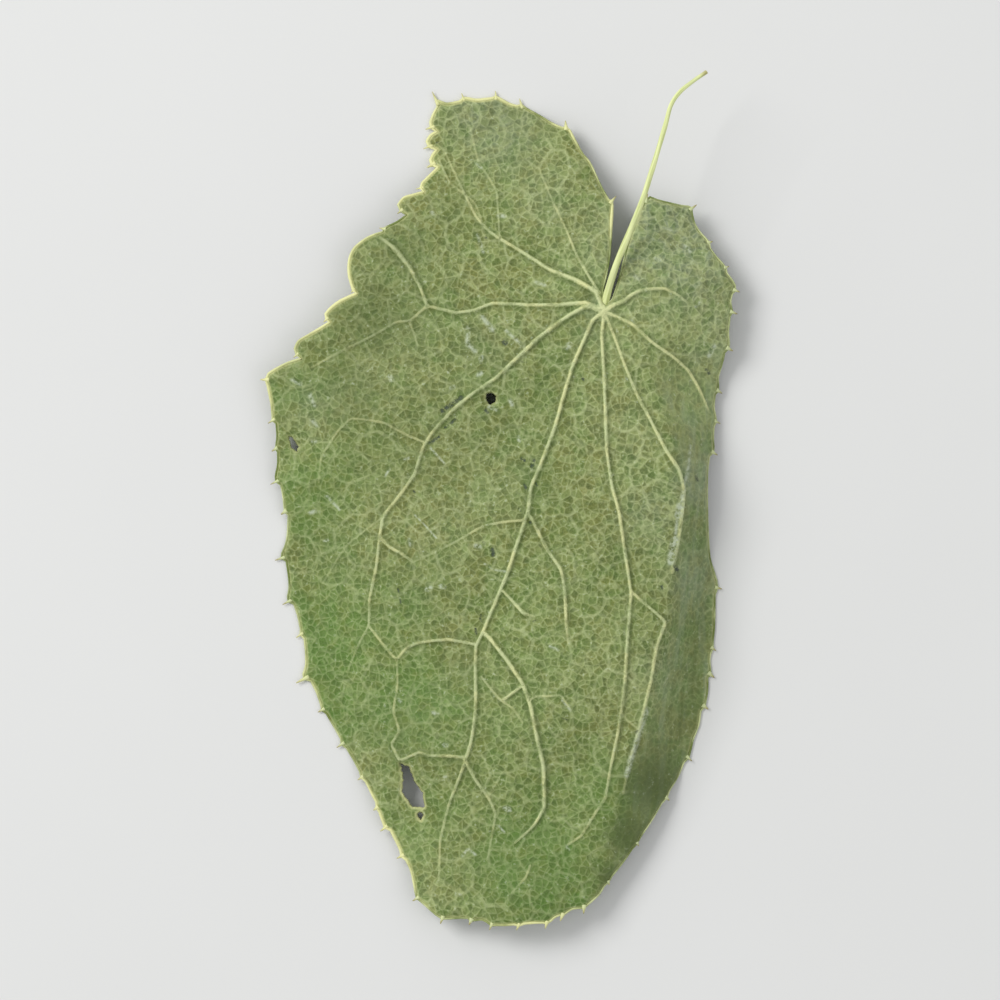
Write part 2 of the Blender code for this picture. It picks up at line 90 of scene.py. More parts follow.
# Rows of mesh points beside the edge, the veins, the net and the crease, and over marks as shares of
# their radius
MARGIN_ROWS = (0.1, 0.24)
RIB_ROWS = (0.09, 0.19, 0.34)
NET_ROWS = (0.12,)
CREASE_ROWS = (0.0, 0.1, 0.22)
MARK_ROWS = (0.0, 0.5, 1.0)
# The even spread of mesh points between the rows: its spacing, its unevenness, and the least gap
LATTICE = 0.31
LATTICE_SHAKE = 0.04
LEAST_GAP = 0.085

# The net: its cells, how far veins and edge draw its corners to them, and its threads' sideways bend,
# strengths and least length
CELL_SPACING = 1.43
MOST_MISSES = 6000
RIB_PULL = 0.5
EDGE_PULL = 0.4
THREAD_BEND = 0.14
THREAD_STRENGTHS = (0.25, 1.0)
SHORTEST_THREAD = 0.15

# The knot where the main veins meet
KNOT_CENTRE = (0.0, -0.7)
KNOT_RADIUS = 1.15
KNOT_RISE = 0.3
# The trough on both sides of a vein: its depth as a share of the vein's height, and its place and width
# in half widths of the vein
TROUGH_DEPTH = 0.22
TROUGH_PLACE = 1.5
TROUGH_WIDTH = 0.9
# How much higher the veins stand on the lower face
LOWER_RIDGE = 1.3
# The sheet is thinnest at its edge: how far in that reaches, over what width it then thickens, and its
# share of the full thickness there
THIN_EDGE = 0.02
THICKENING = 0.3
EDGE_SHARE = 0.18
# How far from its threads a cell of the net bulges in full
PUFF_REACH = 0.75
# Step for measuring the sheet's slope
SLOPE_STEP = 0.05

# Where along a vein its three strengths hold, as shares of its length
STRENGTH_STATIONS = (0.0, 0.8, 1.0)
# How fast patches fade outwards, and how far from a stroke's middle it is looked for
PATCH_FADE = 1.5
STROKE_REACH = 4.0

# The rim's radius, as shares of its size: where the rim is dull, what brightness adds, and how much
# slow swelling, with its waves per mm, and unevenness change it
RIM_LEAST = 0.72
RIM_BRIGHTNESS = 0.65
RIM_SWELLING = 0.25
RIM_WAVES = 0.9
RIM_UNEVENNESS = 0.05

# Spines: how deep they sink into the rim as a share of their length, how far their points rise, and how
# thick, broad and hooked they are
SPINE_SINK = 0.12
SPINE_LIFTS = (-0.05, 0.12)
SPINE_THICKNESSES = (0.7, 1.2)
SPINE_BREADTH = 1.25
SPINE_HOOKS = (0.05, 0.12)
# A spine's rings, and its point and pinched sides as shares of its radius
SPINE_RINGS = (0.18, 0.38, 0.58, 0.78)
SPINE_POINT = 0.16
SPINE_PINCH = 0.12

# The stalk's grooves, with their twist from one point to the next
GROOVES = 5
GROOVE_DEPTH = 0.13
GROOVE_TWIST = 0.04
# How the stalk's radius falls along it, and what is added at its foot and taken off inside the knot,
# each as (radius, share of the length), and its unevenness with the waves in a step
STALK_TAPER = 0.8
STALK_SWELLING = (0.06, 0.06)
STALK_ROOT = (0.16, 0.018)
STALK_UNEVENNESS = 0.07
STALK_WAVES = 0.16
# Where the stalk turns brown at its broken end, as shares of its length
BROKEN_START = 0.965
BROKEN_WIDTH = 0.03
# The streaks on the stalk: how far their pattern stands round it, and how long one is, in mm
STREAK_ROUND = 1.6
STREAK_LENGTH = 2.2

# The stage, in metres. A light is its place and its width.
FLOOR_SIZE = 6.0
SENSOR = 36.0
NEAREST_SEEN = 0.01
KEY_LIGHT = ((-0.40, 0.26, 0.42), 0.30)
FILL_LIGHT = ((0.45, -0.20, 0.40), 0.50)
SKY_COLOUR = (0.97, 0.985, 1.0, 1.0)

# The blade's edge in plan, on each side from the notch to the blade's tip. The edge is a row of
# scallops, and each ends in a spine: the last point of a scallop is its spine's tip.
LEFT_SCALLOPS = [
    [(0.1, -0.45), (-0.1, -0.2), (-0.12, 0.4), (0.1, 1.3), (0.3, 2.3), (0.4, 3.3), (0.45, 4.4), (0.5, 5.4),
     (0.55, 6.1), (0.8, 6.75)],
    [(0.3, 6.5), (-0.2, 7.4), (-0.9, 8.9), (-1.45, 9.6), (-1.9, 10.4), (-2.25, 11.1), (-2.55, 11.8)],
    [(-2.75, 11.3), (-3.4, 11.6), (-4.2, 12.1), (-5.1, 12.6), (-5.6, 13.3)],
    [(-5.75, 12.8), (-6.3, 12.95), (-6.85, 13.25), (-7.2, 13.8)],
    [(-7.45, 13.3), (-8.4, 13.2), (-9.0, 13.3), (-9.45, 13.65)],
    [(-9.55, 13.1), (-10.4, 12.95), (-11.0, 13.15), (-11.4, 13.75)],
    [(-11.05, 12.75), (-11.3, 12.3), (-11.5, 11.75), (-11.85, 11.25)],
    [(-11.1, 11.1), (-11.5, 10.85), (-11.75, 10.45), (-12.0, 9.95)],
    [(-11.1, 9.9), (-11.35, 9.55), (-11.5, 9.2), (-11.75, 8.7)],
    [(-11.0, 8.7), (-11.5, 8.2), (-12.05, 7.65), (-12.5, 7.25)],
    [(-11.95, 7.05), (-12.7, 6.85), (-13.3, 6.65), (-13.65, 6.2), (-13.7, 5.6)],
    [(-13.1, 5.5), (-13.7, 5.05), (-14.35, 4.75), (-14.9, 4.65)],
    [(-14.65, 4.4), (-15.4, 4.15), (-16.0, 3.8), (-16.6, 3.25), (-16.9, 2.5), (-16.9, 1.6), (-16.75, 0.95),
     (-16.75, 0.35)],
    [(-16.4, 0.3), (-17.4, -0.15), (-18.1, -0.65), (-18.45, -1.05), (-18.6, -1.6)],
    [(-18.2, -1.6), (-19.0, -2.1), (-19.7, -2.5), (-20.25, -2.85), (-20.5, -3.35), (-20.6, -3.95)],
    [(-20.1, -4.0), (-21.0, -4.3), (-21.7, -4.65), (-22.25, -5.0), (-22.8, -5.4)],
    [(-22.3, -5.8), (-22.15, -6.5), (-22.05, -7.1), (-22.0, -7.75), (-22.3, -8.3)],
    [(-21.75, -8.3), (-21.7, -9.1), (-21.75, -9.65), (-22.05, -10.15)],
    [(-21.65, -10.2), (-21.65, -11.0), (-21.8, -11.8), (-22.15, -12.35)],
    [(-21.45, -12.4), (-21.3, -13.2), (-21.25, -13.8), (-21.45, -14.35)],
    [(-20.95, -14.4), (-21.0, -15.4), (-21.15, -16.3), (-21.4, -16.95), (-21.85, -17.4)],
    [(-21.1, -17.45), (-20.95, -18.4), (-20.9, -19.2), (-21.0, -19.8), (-21.35, -20.35)],
    [(-20.6, -20.3), (-20.35, -21.0), (-20.15, -21.9), (-20.45, -22.55)],
    [(-19.9, -22.6), (-19.8, -23.5), (-19.8, -24.4), (-19.95, -24.95), (-20.45, -25.55)],
    [(-19.45, -25.4), (-19.1, -26.1), (-18.8, -26.95), (-19.0, -27.5)],
    [(-18.4, -27.6), (-17.9, -28.5), (-17.5, -29.2), (-17.75, -29.85)],
    [(-17.1, -29.9), (-16.6, -30.7), (-16.2, -31.4), (-16.35, -32.0)],
    [(-15.8, -32.1), (-15.4, -32.9), (-15.1, -33.45), (-15.3, -34.0)],
    [(-14.9, -34.1), (-14.65, -34.8), (-14.85, -35.4)],
    [(-14.15, -35.3), (-13.8, -36.0), (-13.5, -36.65), (-13.75, -37.2)],
    [(-13.1, -37.3), (-12.8, -38.0), (-12.6, -38.9), (-12.5, -39.45), (-12.7, -40.0)],
    [(-12.1, -40.05), (-11.6, -40.5), (-11.15, -40.9), (-10.85, -41.5)],
]
RIGHT_SCALLOPS = [
    [(0.1, -0.45), (0.5, -0.15), (0.75, 0.5), (1.0, 1.3), (1.25, 2.3), (1.65, 3.8), (2.1, 5.0), (2.5, 6.0),
     (2.9, 6.9)],
    [(3.05, 6.7), (3.6, 6.5), (4.4, 6.3), (5.1, 6.15), (5.6, 6.1), (6.15, 6.2)],
    [(5.85, 5.65), (6.0, 5.0), (6.35, 4.4), (6.7, 4.0), (7.2, 3.75)],
    [(7.05, 3.3), (7.4, 2.8), (7.8, 2.35), (8.3, 2.1)],
    [(8.15, 1.65), (8.5, 1.2), (8.7, 0.85), (9.0, 0.4)],
    [(8.5, 0.25), (8.4, -0.2), (8.45, -0.6), (8.85, -1.05)],
    [(8.35, -1.2), (8.25, -2.2), (8.3, -2.95), (8.55, -3.5)],
    [(8.0, -3.6), (7.8, -4.5), (7.6, -5.2), (7.6, -5.75), (7.85, -6.3)],
    [(7.4, -6.4), (7.3, -7.2), (7.4, -7.75), (7.75, -8.3)],
    [(7.3, -8.5), (7.25, -9.3), (7.3, -9.85), (7.55, -10.4)],
    [(7.0, -10.5), (6.88, -11.4), (6.85, -12.8), (6.88, -14.4), (6.95, -16.0), (7.05, -17.2), (7.3, -18.1),
     (7.5, -18.7), (7.85, -19.3)],
    [(7.4, -19.7), (7.38, -20.8), (7.35, -21.9), (7.25, -22.8), (7.45, -23.4)],
    [(7.1, -23.6), (7.05, -24.1), (7.1, -24.6), (7.35, -25.2)],
    [(6.9, -25.2), (6.9, -26.0), (6.8, -26.7), (6.95, -27.3)],
    [(6.45, -27.4), (6.3, -28.4), (5.95, -29.3), (5.75, -30.1), (5.85, -30.75)],
    [(5.35, -30.8), (4.9, -31.8), (4.35, -32.7), (4.35, -33.35)],
    [(3.85, -33.5), (3.2, -34.6), (2.45, -35.7), (2.3, -36.35)],
    [(1.9, -36.5), (1.2, -37.5), (0.55, -38.3), (0.35, -38.95)],
    [(0.0, -39.0), (-0.3, -39.5), (-0.65, -39.85), (-1.0, -40.15), (-1.35, -40.8)],
    [(-1.65, -40.45), (-2.1, -40.5), (-2.5, -40.75), (-2.9, -41.3)],
    [(-2.95, -40.9), (-3.3, -41.05), (-3.5, -41.25), (-3.9, -41.8)],
    [(-4.05, -41.4), (-4.7, -41.4), (-5.3, -41.45), (-5.8, -41.9)],
    [(-5.95, -41.5), (-6.5, -41.55), (-7.1, -41.55), (-7.6, -41.9)],
    [(-7.75, -41.35), (-8.1, -41.2), (-8.5, -41.25), (-8.95, -41.55)],
    [(-9.05, -41.1), (-9.6, -41.1), (-10.2, -41.15), (-10.85, -41.5)],
]

# Holes that insects and handling have left, as outlines in plan
HOLES = [
    [(-13.5, -30.9), (-12.9, -31.1), (-12.6, -32.0), (-12.0, -32.8), (-11.9, -33.8), (-12.7, -33.7),
     (-13.4, -32.8), (-13.3, -31.8)],
    [(-7.8, -6.4), (-7.5, -6.3), (-7.2, -6.5), (-7.2, -6.9), (-7.5, -7.1), (-7.8, -6.8)],
    [(-20.9, -9.2), (-20.6, -9.3), (-20.3, -9.9), (-20.4, -10.2), (-20.7, -9.9)],
    [(-12.4, -34.2), (-12.2, -34.1), (-12.0, -34.3), (-12.1, -34.6), (-12.3, -34.5)],
]

# The main veins: how strong each is at its root, at the last fifth of its length and at its end, and
# its line in plan. A vein that is 1 strong is as broad and as high as the sizes below say.
RIBS = {
    "midrib": ((1.05, 0.85, 0.2), [(0.0, -0.9), (-0.76, -1.5), (-1.4, -2.9), (-2.1, -4.5), (-2.7, -6.5),
        (-3.3, -8.7), (-4.2, -11.1), (-4.8, -12.5), (-5.05, -14.2), (-5.7, -16.1), (-6.4, -18.2),
        (-7.35, -20.5), (-8.0, -22.1), (-8.45, -23.1), (-8.5, -25.0), (-8.5, -27.2), (-8.8, -29.3),
        (-9.45, -31.4), (-10.2, -33.4), (-10.8, -35.9), (-10.9, -38.6)]),
    "midrib_fork": ((0.9, 0.85, 0.1), [(-5.05, -14.2), (-4.5, -15.2), (-3.8, -16.6), (-2.85, -18.0),
        (-2.6, -19.5), (-2.5, -21.6), (-2.35, -23.0)]),
    "midrib_branch": ((1.1, 1.1, 0.35), [(-8.0, -22.1), (-7.5, -22.6), (-6.4, -24.0), (-5.4, -25.5),
        (-4.85, -27.0), (-4.45, -29.1), (-4.05, -31.0), (-4.0, -33.7), (-4.7, -35.0), (-5.9, -36.1)]),
    "right_rib": ((0.95, 0.85, 0.35), [(0.0, -0.9), (-0.15, -2.5), (-0.05, -4.3), (0.05, -6.5),
        (0.15, -10.0), (0.5, -12.5), (0.95, -14.2), (1.3, -16.7), (1.75, -19.6), (1.55, -22.0),
        (1.3, -25.5), (0.95, -28.5), (0.4, -31.4), (0.1, -33.1), (-0.55, -34.1), (-1.5, -35.6),
        (-2.4, -36.2)]),
    "right_rib_fork": ((0.7, 0.72, 0.3), [(1.7, -19.4), (2.6, -20.2), (3.9, -21.4), (3.4, -23.0),
        (3.0, -25.3), (2.3, -28.3), (1.7, -30.5), (1.2, -32.8)]),
    "fold_rib": ((0.75, 0.8, 0.5), [(0.0, -0.9), (0.6, -2.4), (1.3, -4.3), (2.1, -6.3), (3.0, -8.0),
        (4.0, -10.0), (4.8, -11.4), (5.15, -12.9), (4.8, -16.0), (4.4, -18.2)]),
    "right_lobe_rib": ((0.9, 0.8, 0.3), [(0.0, -0.9), (1.8, -1.75), (3.2, -3.0), (4.5, -3.9), (5.5, -4.8),
        (6.3, -6.2), (6.9, -7.6)]),
    "right_lobe_vein": ((1.2, 0.6, 0.1), [(0.0, -0.9), (0.5, -0.55), (1.25, -0.25), (1.9, 0.25),
        (2.6, 0.52), (3.9, 0.6), (4.8, 0.2), (5.5, -0.35)]),
    "left_rib": ((1.1, 0.75, 0.1), [(0.0, -0.9), (-1.2, -0.6), (-2.4, -1.24), (-4.2, -2.55), (-5.7, -3.94),
        (-7.2, -5.35), (-8.6, -6.3), (-9.9, -7.35), (-11.3, -8.85), (-12.0, -10.0), (-12.5, -11.6),
        (-13.3, -12.8), (-14.6, -14.5), (-14.85, -16.0), (-15.05, -17.8), (-15.5, -20.0), (-15.55, -21.7),
        (-16.1, -22.7), (-17.0, -24.8)]),
    "left_rib_loop": ((0.45, 0.8, 0.8), [(-15.55, -21.7), (-14.3, -23.3), (-13.7, -23.9), (-13.1, -23.2),
        (-12.2, -22.8), (-10.3, -22.6), (-8.5, -22.95)]),
    "left_rib_branch": ((0.2, 0.7, 0.9), [(-13.7, -23.9), (-13.65, -25.6), (-13.9, -27.4), (-13.5, -28.7),
        (-14.0, -29.6), (-13.5, -30.6)]),
    "left_rib_twig": ((1.0, 0.8, 0.2), [(-14.8, -15.9), (-14.2, -16.5), (-13.5, -16.9), (-12.6, -17.5)]),
    "left_rib_arch": ((0.5, 0.25, 0.1), [(-12.0, -9.5), (-13.4, -8.9), (-14.6, -8.25), (-16.7, -8.0),
        (-17.6, -8.8), (-18.7, -10.5), (-18.9, -12.2)]),
    "side_rib": ((1.15, 0.55, 0.2), [(0.0, -0.9), (-1.2, -0.35), (-3.0, -0.5), (-4.8, -0.53), (-7.35, -0.4),
        (-8.6, -0.85), (-9.8, -1.0), (-11.65, -0.6), (-12.8, -1.5), (-13.7, -1.6), (-15.3, -2.5),
        (-17.4, -3.5), (-19.4, -4.6)]),
    "side_rib_fork": ((0.8, 1.3, 0.5), [(-11.65, -0.6), (-12.2, 0.8), (-12.85, 2.0), (-13.9, 3.3),
        (-14.8, 4.0)]),
    "lobe_rib": ((1.45, 0.55, 0.1), [(0.0, -0.9), (-0.54, 0.35), (-1.8, 1.1), (-3.5, 1.8), (-5.15, 2.85),
        (-6.8, 3.85), (-7.5, 4.3), (-8.5, 5.4), (-9.5, 7.4), (-10.5, 9.6)]),
    "lobe_vein": ((0.7, 0.25, 0.1), [(-0.3, 0.3), (-1.0, 1.4), (-1.75, 2.7), (-2.5, 4.5), (-3.4, 6.4),
        (-4.3, 8.6)]),
    "midrib_arch": ((0.55, 0.3, 0.25), [(-5.2, -14.7), (-6.6, -14.85), (-7.9, -15.1), (-9.5, -16.0),
        (-10.9, -16.75), (-11.9, -17.2), (-12.6, -17.5)]),
    "crossing_vein": ((0.8, 0.7, 0.7), [(-9.2, -30.4), (-10.4, -30.3), (-11.5, -30.3), (-12.2, -30.1),
        (-13.3, -30.6)]),
    "linking_vein": ((0.4, 0.8, 0.7), [(-8.1, -25.1), (-7.4, -26.0), (-6.8, -26.65), (-6.0, -26.1),
        (-5.3, -25.6)]),
    "branch_link": ((0.4, 0.45, 0.1), [(-4.95, -26.6), (-4.4, -26.35), (-3.45, -26.35), (-2.85, -26.3),
        (-2.1, -27.4)]),
    "right_rib_twig": ((0.4, 0.2, 0.1), [(1.15, -27.5), (1.6, -28.0), (2.1, -28.4)]),
    "linking_twig": ((0.5, 0.3, 0.1), [(-6.8, -26.65), (-6.0, -27.2), (-5.4, -28.1)]),
    "midrib_twig": ((0.55, 1.1, 0.1), [(-6.75, -19.3), (-5.9, -20.2), (-5.3, -20.85), (-4.6, -21.1)]),
    "side_rib_twig": ((0.4, 0.2, 0.1), [(-12.9, -1.55), (-12.5, -2.5), (-12.3, -3.2)]),
    "lobe_fork": ((0.15, 0.4, 0.1), [(-8.0, 4.8), (-8.6, 6.3), (-10.2, 7.6), (-11.0, 9.3)]),
    "lobe_twig": ((0.25, 0.15, 0.05), [(-6.9, 3.9), (-7.1, 6.9), (-7.7, 8.1), (-8.3, 9.0), (-8.9, 11.5)]),
    "tip_vein": ((1.0, 0.3, 0.1), [(-9.2, -30.6), (-8.5, -31.9), (-7.6, -33.2), (-7.2, -34.2),
        (-7.5, -36.1), (-7.7, -37.2)]),
    "tip_twig": ((0.4, 0.2, 0.1), [(-7.65, -33.0), (-7.2, -32.2), (-6.9, -31.7)]),
    "left_twig": ((0.2, 0.1, 0.05), [(-14.6, -14.5), (-17.0, -16.4), (-18.6, -18.9)]),
    "low_twig": ((0.4, 0.2, 0.1), [(-4.9, -37.6), (-5.2, -38.4), (-6.1, -39.4)]),
}

# How the sheet lies: heights of its middle surface at chosen places in plan, before the fold
LIE = [
    (0.0, 0.0, 3.2), (-4.0, -9.0, 3.7), (-4.0, -20.0, 3.7), (-5.0, -30.0, 3.0), (-8.0, -37.0, 2.0),
    (-10.8, -41.0, 1.9), (-1.0, -38.0, 2.2), (5.0, -12.0, 3.9), (4.0, -21.0, 3.8), (2.0, -30.0, 3.1),
    (-12.0, -10.0, 2.6), (-12.0, -20.0, 2.6), (-13.0, -30.0, 1.7), (-22.0, -5.0, 1.3), (-21.5, -12.0, 0.7),
    (-20.5, -23.0, -0.4), (-16.5, -31.0, 0.6), (-13.0, -38.0, 1.3), (-9.0, 6.0, 2.0), (-9.0, 13.0, -0.5),
    (-3.0, 9.0, 1.7), (-15.5, 3.0, 1.7), (-11.5, 10.0, 0.3), (4.0, 3.0, 2.9), (7.0, 6.0, 1.6),
    (8.5, 0.0, 2.3), (9.0, -15.0, 3.7), (8.0, -26.0, 3.2),
]
STIFFNESS = 4.0
# The crease in plan, and the slope of the sheet past it at places along Y
CREASE = [
    (2.0, -3.0), (4.1, -9.0), (5.0, -12.8), (4.7, -16.0), (4.1, -21.0), (3.2, -25.5), (2.1, -29.4),
    (0.9, -33.6), (-0.6, -39.4),
]
FOLD_SLOPES = [
    (1.0, 0.0), (-3.0, 0.12), (-8.0, 0.85), (-13.0, 1.2), (-19.0, 1.42), (-25.0, 1.2), (-32.0, 0.75),
    (-39.0, 0.35), (-42.0, 0.3),
]
FOLD_ROUNDING = 0.28
# The strip past the crease is smoother than the rest where it is steep
STRIP_BLEND = 0.7
STRIP_SLOPE = 0.8
STRIP_CALM = 0.5
# Slow puckers of the dry sheet, as (waves per mm along x, along y, phase, height)
PUCKERS = [(0.075, 0.035, 0.4, 0.2), (-0.045, 0.085, 1.9, 0.16), (0.13, -0.11, 3.1, 0.07)]
# Finer unevenness, as (width of a dent, height), and over what height off the floor dents grow to full
DENTS = [(3.2, 0.06), (1.3, 0.02)]
DENT_EASE = 0.3

# Patches of the upper face, as (x, y, radius, strength)
PALE_PATCHES = [
    (4.5, 3.5, 6.5, 1.3), (-7.0, 11.5, 4.5, 0.9), (-4.0, 6.5, 4.0, 0.5), (0.6, -1.5, 3.2, 1.0),
    (-7.0, -3.0, 4.0, 0.3), (1.5, -9.0, 5.0, 0.4), (3.0, -14.5, 3.2, 0.7), (3.0, -25.0, 3.0, 0.6),
    (7.6, -3.0, 2.8, 1.6), (-19.5, -7.0, 2.5, 0.6), (5.8, -18.5, 3.0, 0.8), (6.2, -12.0, 2.4, 1.2),
    (-8.5, 12.5, 2.5, 1.0),
]
FRESH_PATCHES = [
    (-20.0, -13.5, 6.0, 0.6), (-19.0, -22.5, 5.5, 1.25), (-12.5, -27.0, 6.0, 1.0),
    (-12.5, -35.0, 4.5, 0.75), (-4.5, -38.0, 5.5, 1.15), (-14.5, -20.0, 4.5, 0.6), (-8.0, -22.5, 4.5, 0.4),
    (6.5, -28.0, 3.5, 0.2), (-20.5, -7.0, 3.5, 0.35), (0.0, -33.5, 4.5, 0.75), (-3.0, -12.0, 3.5, 0.45),
    (-19.0, -27.0, 4.0, 1.2), (-8.0, -15.0, 4.0, 0.3), (-6.0, 6.0, 4.0, 0.35),
]
# Patches of painted shade, darkest at the lower end of the folded strip
PAINTED_SHADE_PATCHES = [
    (3.2, -32.3, 2.9, 1.0), (1.6, -35.5, 2.3, 0.9), (0.3, -38.3, 1.4, 0.8), (5.6, -28.5, 2.0, 0.3),
    (-6.0, -37.5, 6.0, 0.18), (-13.8, 3.2, 4.0, 0.44), (-11.0, -9.5, 8.0, 0.3), (-6.0, -12.0, 3.5, 0.28),
    (-20.5, -5.5, 3.5, 0.2), (-15.0, -1.4, 5.0, 0.62), (-16.6, -6.0, 3.8, 0.55), (-8.5, -3.5, 2.6, 0.36),
    (-6.0, 11.0, 3.5, 0.32), (-12.0, -18.5, 4.5, 0.26), (0.5, -21.0, 3.5, 0.12), (-1.5, -29.0, 4.0, 0.16),
    (-21.2, -9.5, 1.6, 0.3), (-10.5, 6.0, 2.5, 0.3), (2.8, -18.5, 2.4, 0.22), (-13.6, -29.5, 4.2, 0.3),
    (-18.0, -17.0, 3.2, 0.28), (-9.5, -24.5, 2.6, 0.26),
]
# Patches of painted light, brighter than the rest but no greyer
PAINTED_LIGHT_PATCHES = [
    (6.6, -6.2, 4.0, 1.25), (1.4, -2.2, 2.8, 1.2), (3.4, -2.4, 2.8, 0.7), (-2.6, 2.0, 2.4, 0.3),
    (-18.5, -12.0, 2.4, 0.35), (3.0, -26.5, 2.2, 0.7), (0.0, -36.0, 1.6, 0.5), (-6.2, -27.5, 2.6, 0.75),
    (-12.3, -36.2, 1.8, 0.8), (3.4, -6.0, 2.6, 0.5), (0.2, -30.5, 1.8, 0.4), (-18.0, -12.0, 2.0, 0.5),
    (6.2, -2.8, 2.2, 0.9), (3.4, 0.4, 1.8, 0.6),
]
# Places where the rim is broad and bright
BRIGHT_RIM = [
    (-11.6, 9.6, 4.6, 1.0), (-8.0, 13.4, 4.0, 0.9), (-17.4, 0.0, 5.5, 1.0), (-21.9, -6.0, 2.6, 0.7),
    (-2.0, 11.0, 4.0, 0.5), (0.4, 5.4, 1.8, 0.6), (-19.8, -24.5, 5.0, 0.35), (-14.2, -35.6, 5.0, 0.8),
    (-13.2, -32.8, 1.3, 0.9), (-5.0, -41.6, 4.0, 0.5),
]
# Rubbed and dusty strokes and spots, as (strength, radius, x, y, x, y ...). The strokes along the crease
# also paint its highlight.
SCUFFS_AND_HIGHLIGHTS = [
    (0.7, 0.2, 5.6, -9.8, 5.5, -11.0, 5.2, -12.4, 4.95, -13.6), (1.0, 0.26, 4.95, -13.6, 4.8, -14.4),
    (0.7, 0.18, 4.75, -14.6, 4.6, -16.0), (1.0, 0.28, 4.6, -16.0, 4.45, -16.8, 4.3, -17.5),
    (0.75, 0.3, 2.75, -27.2, 2.3, -28.7, 1.85, -30.1), (0.8, 0.26, 1.85, -30.1, 1.45, -31.6),
    (0.7, 0.3, -9.0, -2.0, -9.05, -3.1, -8.5, -3.6), (0.9, 0.22, -8.1, -3.95, -8.15, -4.1),
    (0.7, 0.32, -8.1, -1.3, -7.3, -2.2), (0.6, 0.3, -6.5, -2.2, -5.4, -3.2),
    (1.0, 0.24, -2.45, -3.3, -2.3, -3.1), (0.8, 0.26, -6.25, -6.8, -6.1, -7.1),
    (0.9, 0.2, -7.6, -7.2, -7.1, -7.4), (0.8, 0.22, -10.1, -6.0, -9.9, -5.9),
    (0.8, 0.24, -8.35, -5.15, -8.1, -5.0), (0.7, 0.24, -5.7, -9.2, -5.6, -9.5),
    (0.7, 0.2, -10.3, -4.95, -10.2, -4.85), (0.9, 0.24, -14.15, -5.2, -14.05, -5.45),
    (0.6, 0.34, -19.5, -6.4, -19.2, -7.1), (0.6, 0.36, -19.3, -8.1, -19.0, -8.5),
    (0.6, 0.3, -20.7, -5.4, -20.1, -5.7), (0.8, 0.22, -19.3, -9.5, -19.1, -9.5),
    (0.7, 0.2, -18.35, -13.1, -17.9, -13.6, -17.5, -14.0), (0.8, 0.24, -19.5, -14.2, -19.1, -14.1),
    (0.7, 0.16, -14.5, -11.8, -14.2, -11.3), (0.6, 0.22, -13.2, -10.7, -12.9, -10.6),
    (0.7, 0.14, -12.5, -14.4, -11.9, -15.0, -11.1, -15.9), (0.6, 0.26, -12.9, -16.0, -12.8, -16.4),
    (0.9, 0.24, -11.7, -19.3, -11.5, -19.2), (0.9, 0.24, -10.8, -19.1, -10.6, -19.15),
    (0.7, 0.2, -18.5, -16.1, -18.3, -16.05), (0.7, 0.28, -8.5, -16.4, -8.1, -16.5),
    (0.6, 0.18, -7.9, -17.6, -7.2, -18.0, -6.5, -18.1), (0.8, 0.14, -11.5, -9.9, -10.5, -11.0),
    (0.9, 0.26, -6.55, -33.8, -6.25, -33.9), (0.8, 0.24, -10.6, -29.6, -10.4, -29.6),
    (0.6, 0.22, -10.6, -31.7, -10.4, -31.7), (0.6, 0.24, -13.6, -26.6, -13.4, -26.8),
    (0.7, 0.28, -11.3, -27.5, -11.0, -27.6), (0.7, 0.22, -9.8, -39.5, -9.5, -39.6),
    (0.8, 0.16, -9.4, -37.0, -9.0, -36.5, -8.5, -36.9), (0.7, 0.16, -7.0, -34.95, -6.6, -35.4),
    (0.7, 0.16, -2.8, -26.6, -2.2, -27.3), (0.7, 0.2, -3.6, -23.05, -3.0, -23.3),
    (0.7, 0.2, -2.5, -36.3, -2.3, -36.6), (0.8, 0.24, -7.0, 5.4, -6.6, 5.4),
    (0.8, 0.22, -11.45, 5.65, -11.3, 5.5), (0.6, 0.26, -8.4, 4.2, -8.0, 3.0),
    (0.6, 0.3, -4.5, 1.0, -3.9, 0.8), (0.6, 0.22, -8.5, 8.9, -8.1, 8.6), (0.6, 0.3, 5.3, 3.4, 5.7, 3.0),
    (0.6, 0.26, 2.0, 1.4, 2.3, 1.2), (0.7, 0.3, 6.9, -3.8, 7.3, -3.1), (0.6, 0.24, 3.3, 2.6, 3.7, 2.4),
    (0.6, 0.24, 6.0, -0.6, 6.3, -0.3), (0.5, 0.24, 4.0, 4.6, 4.4, 4.4),
]
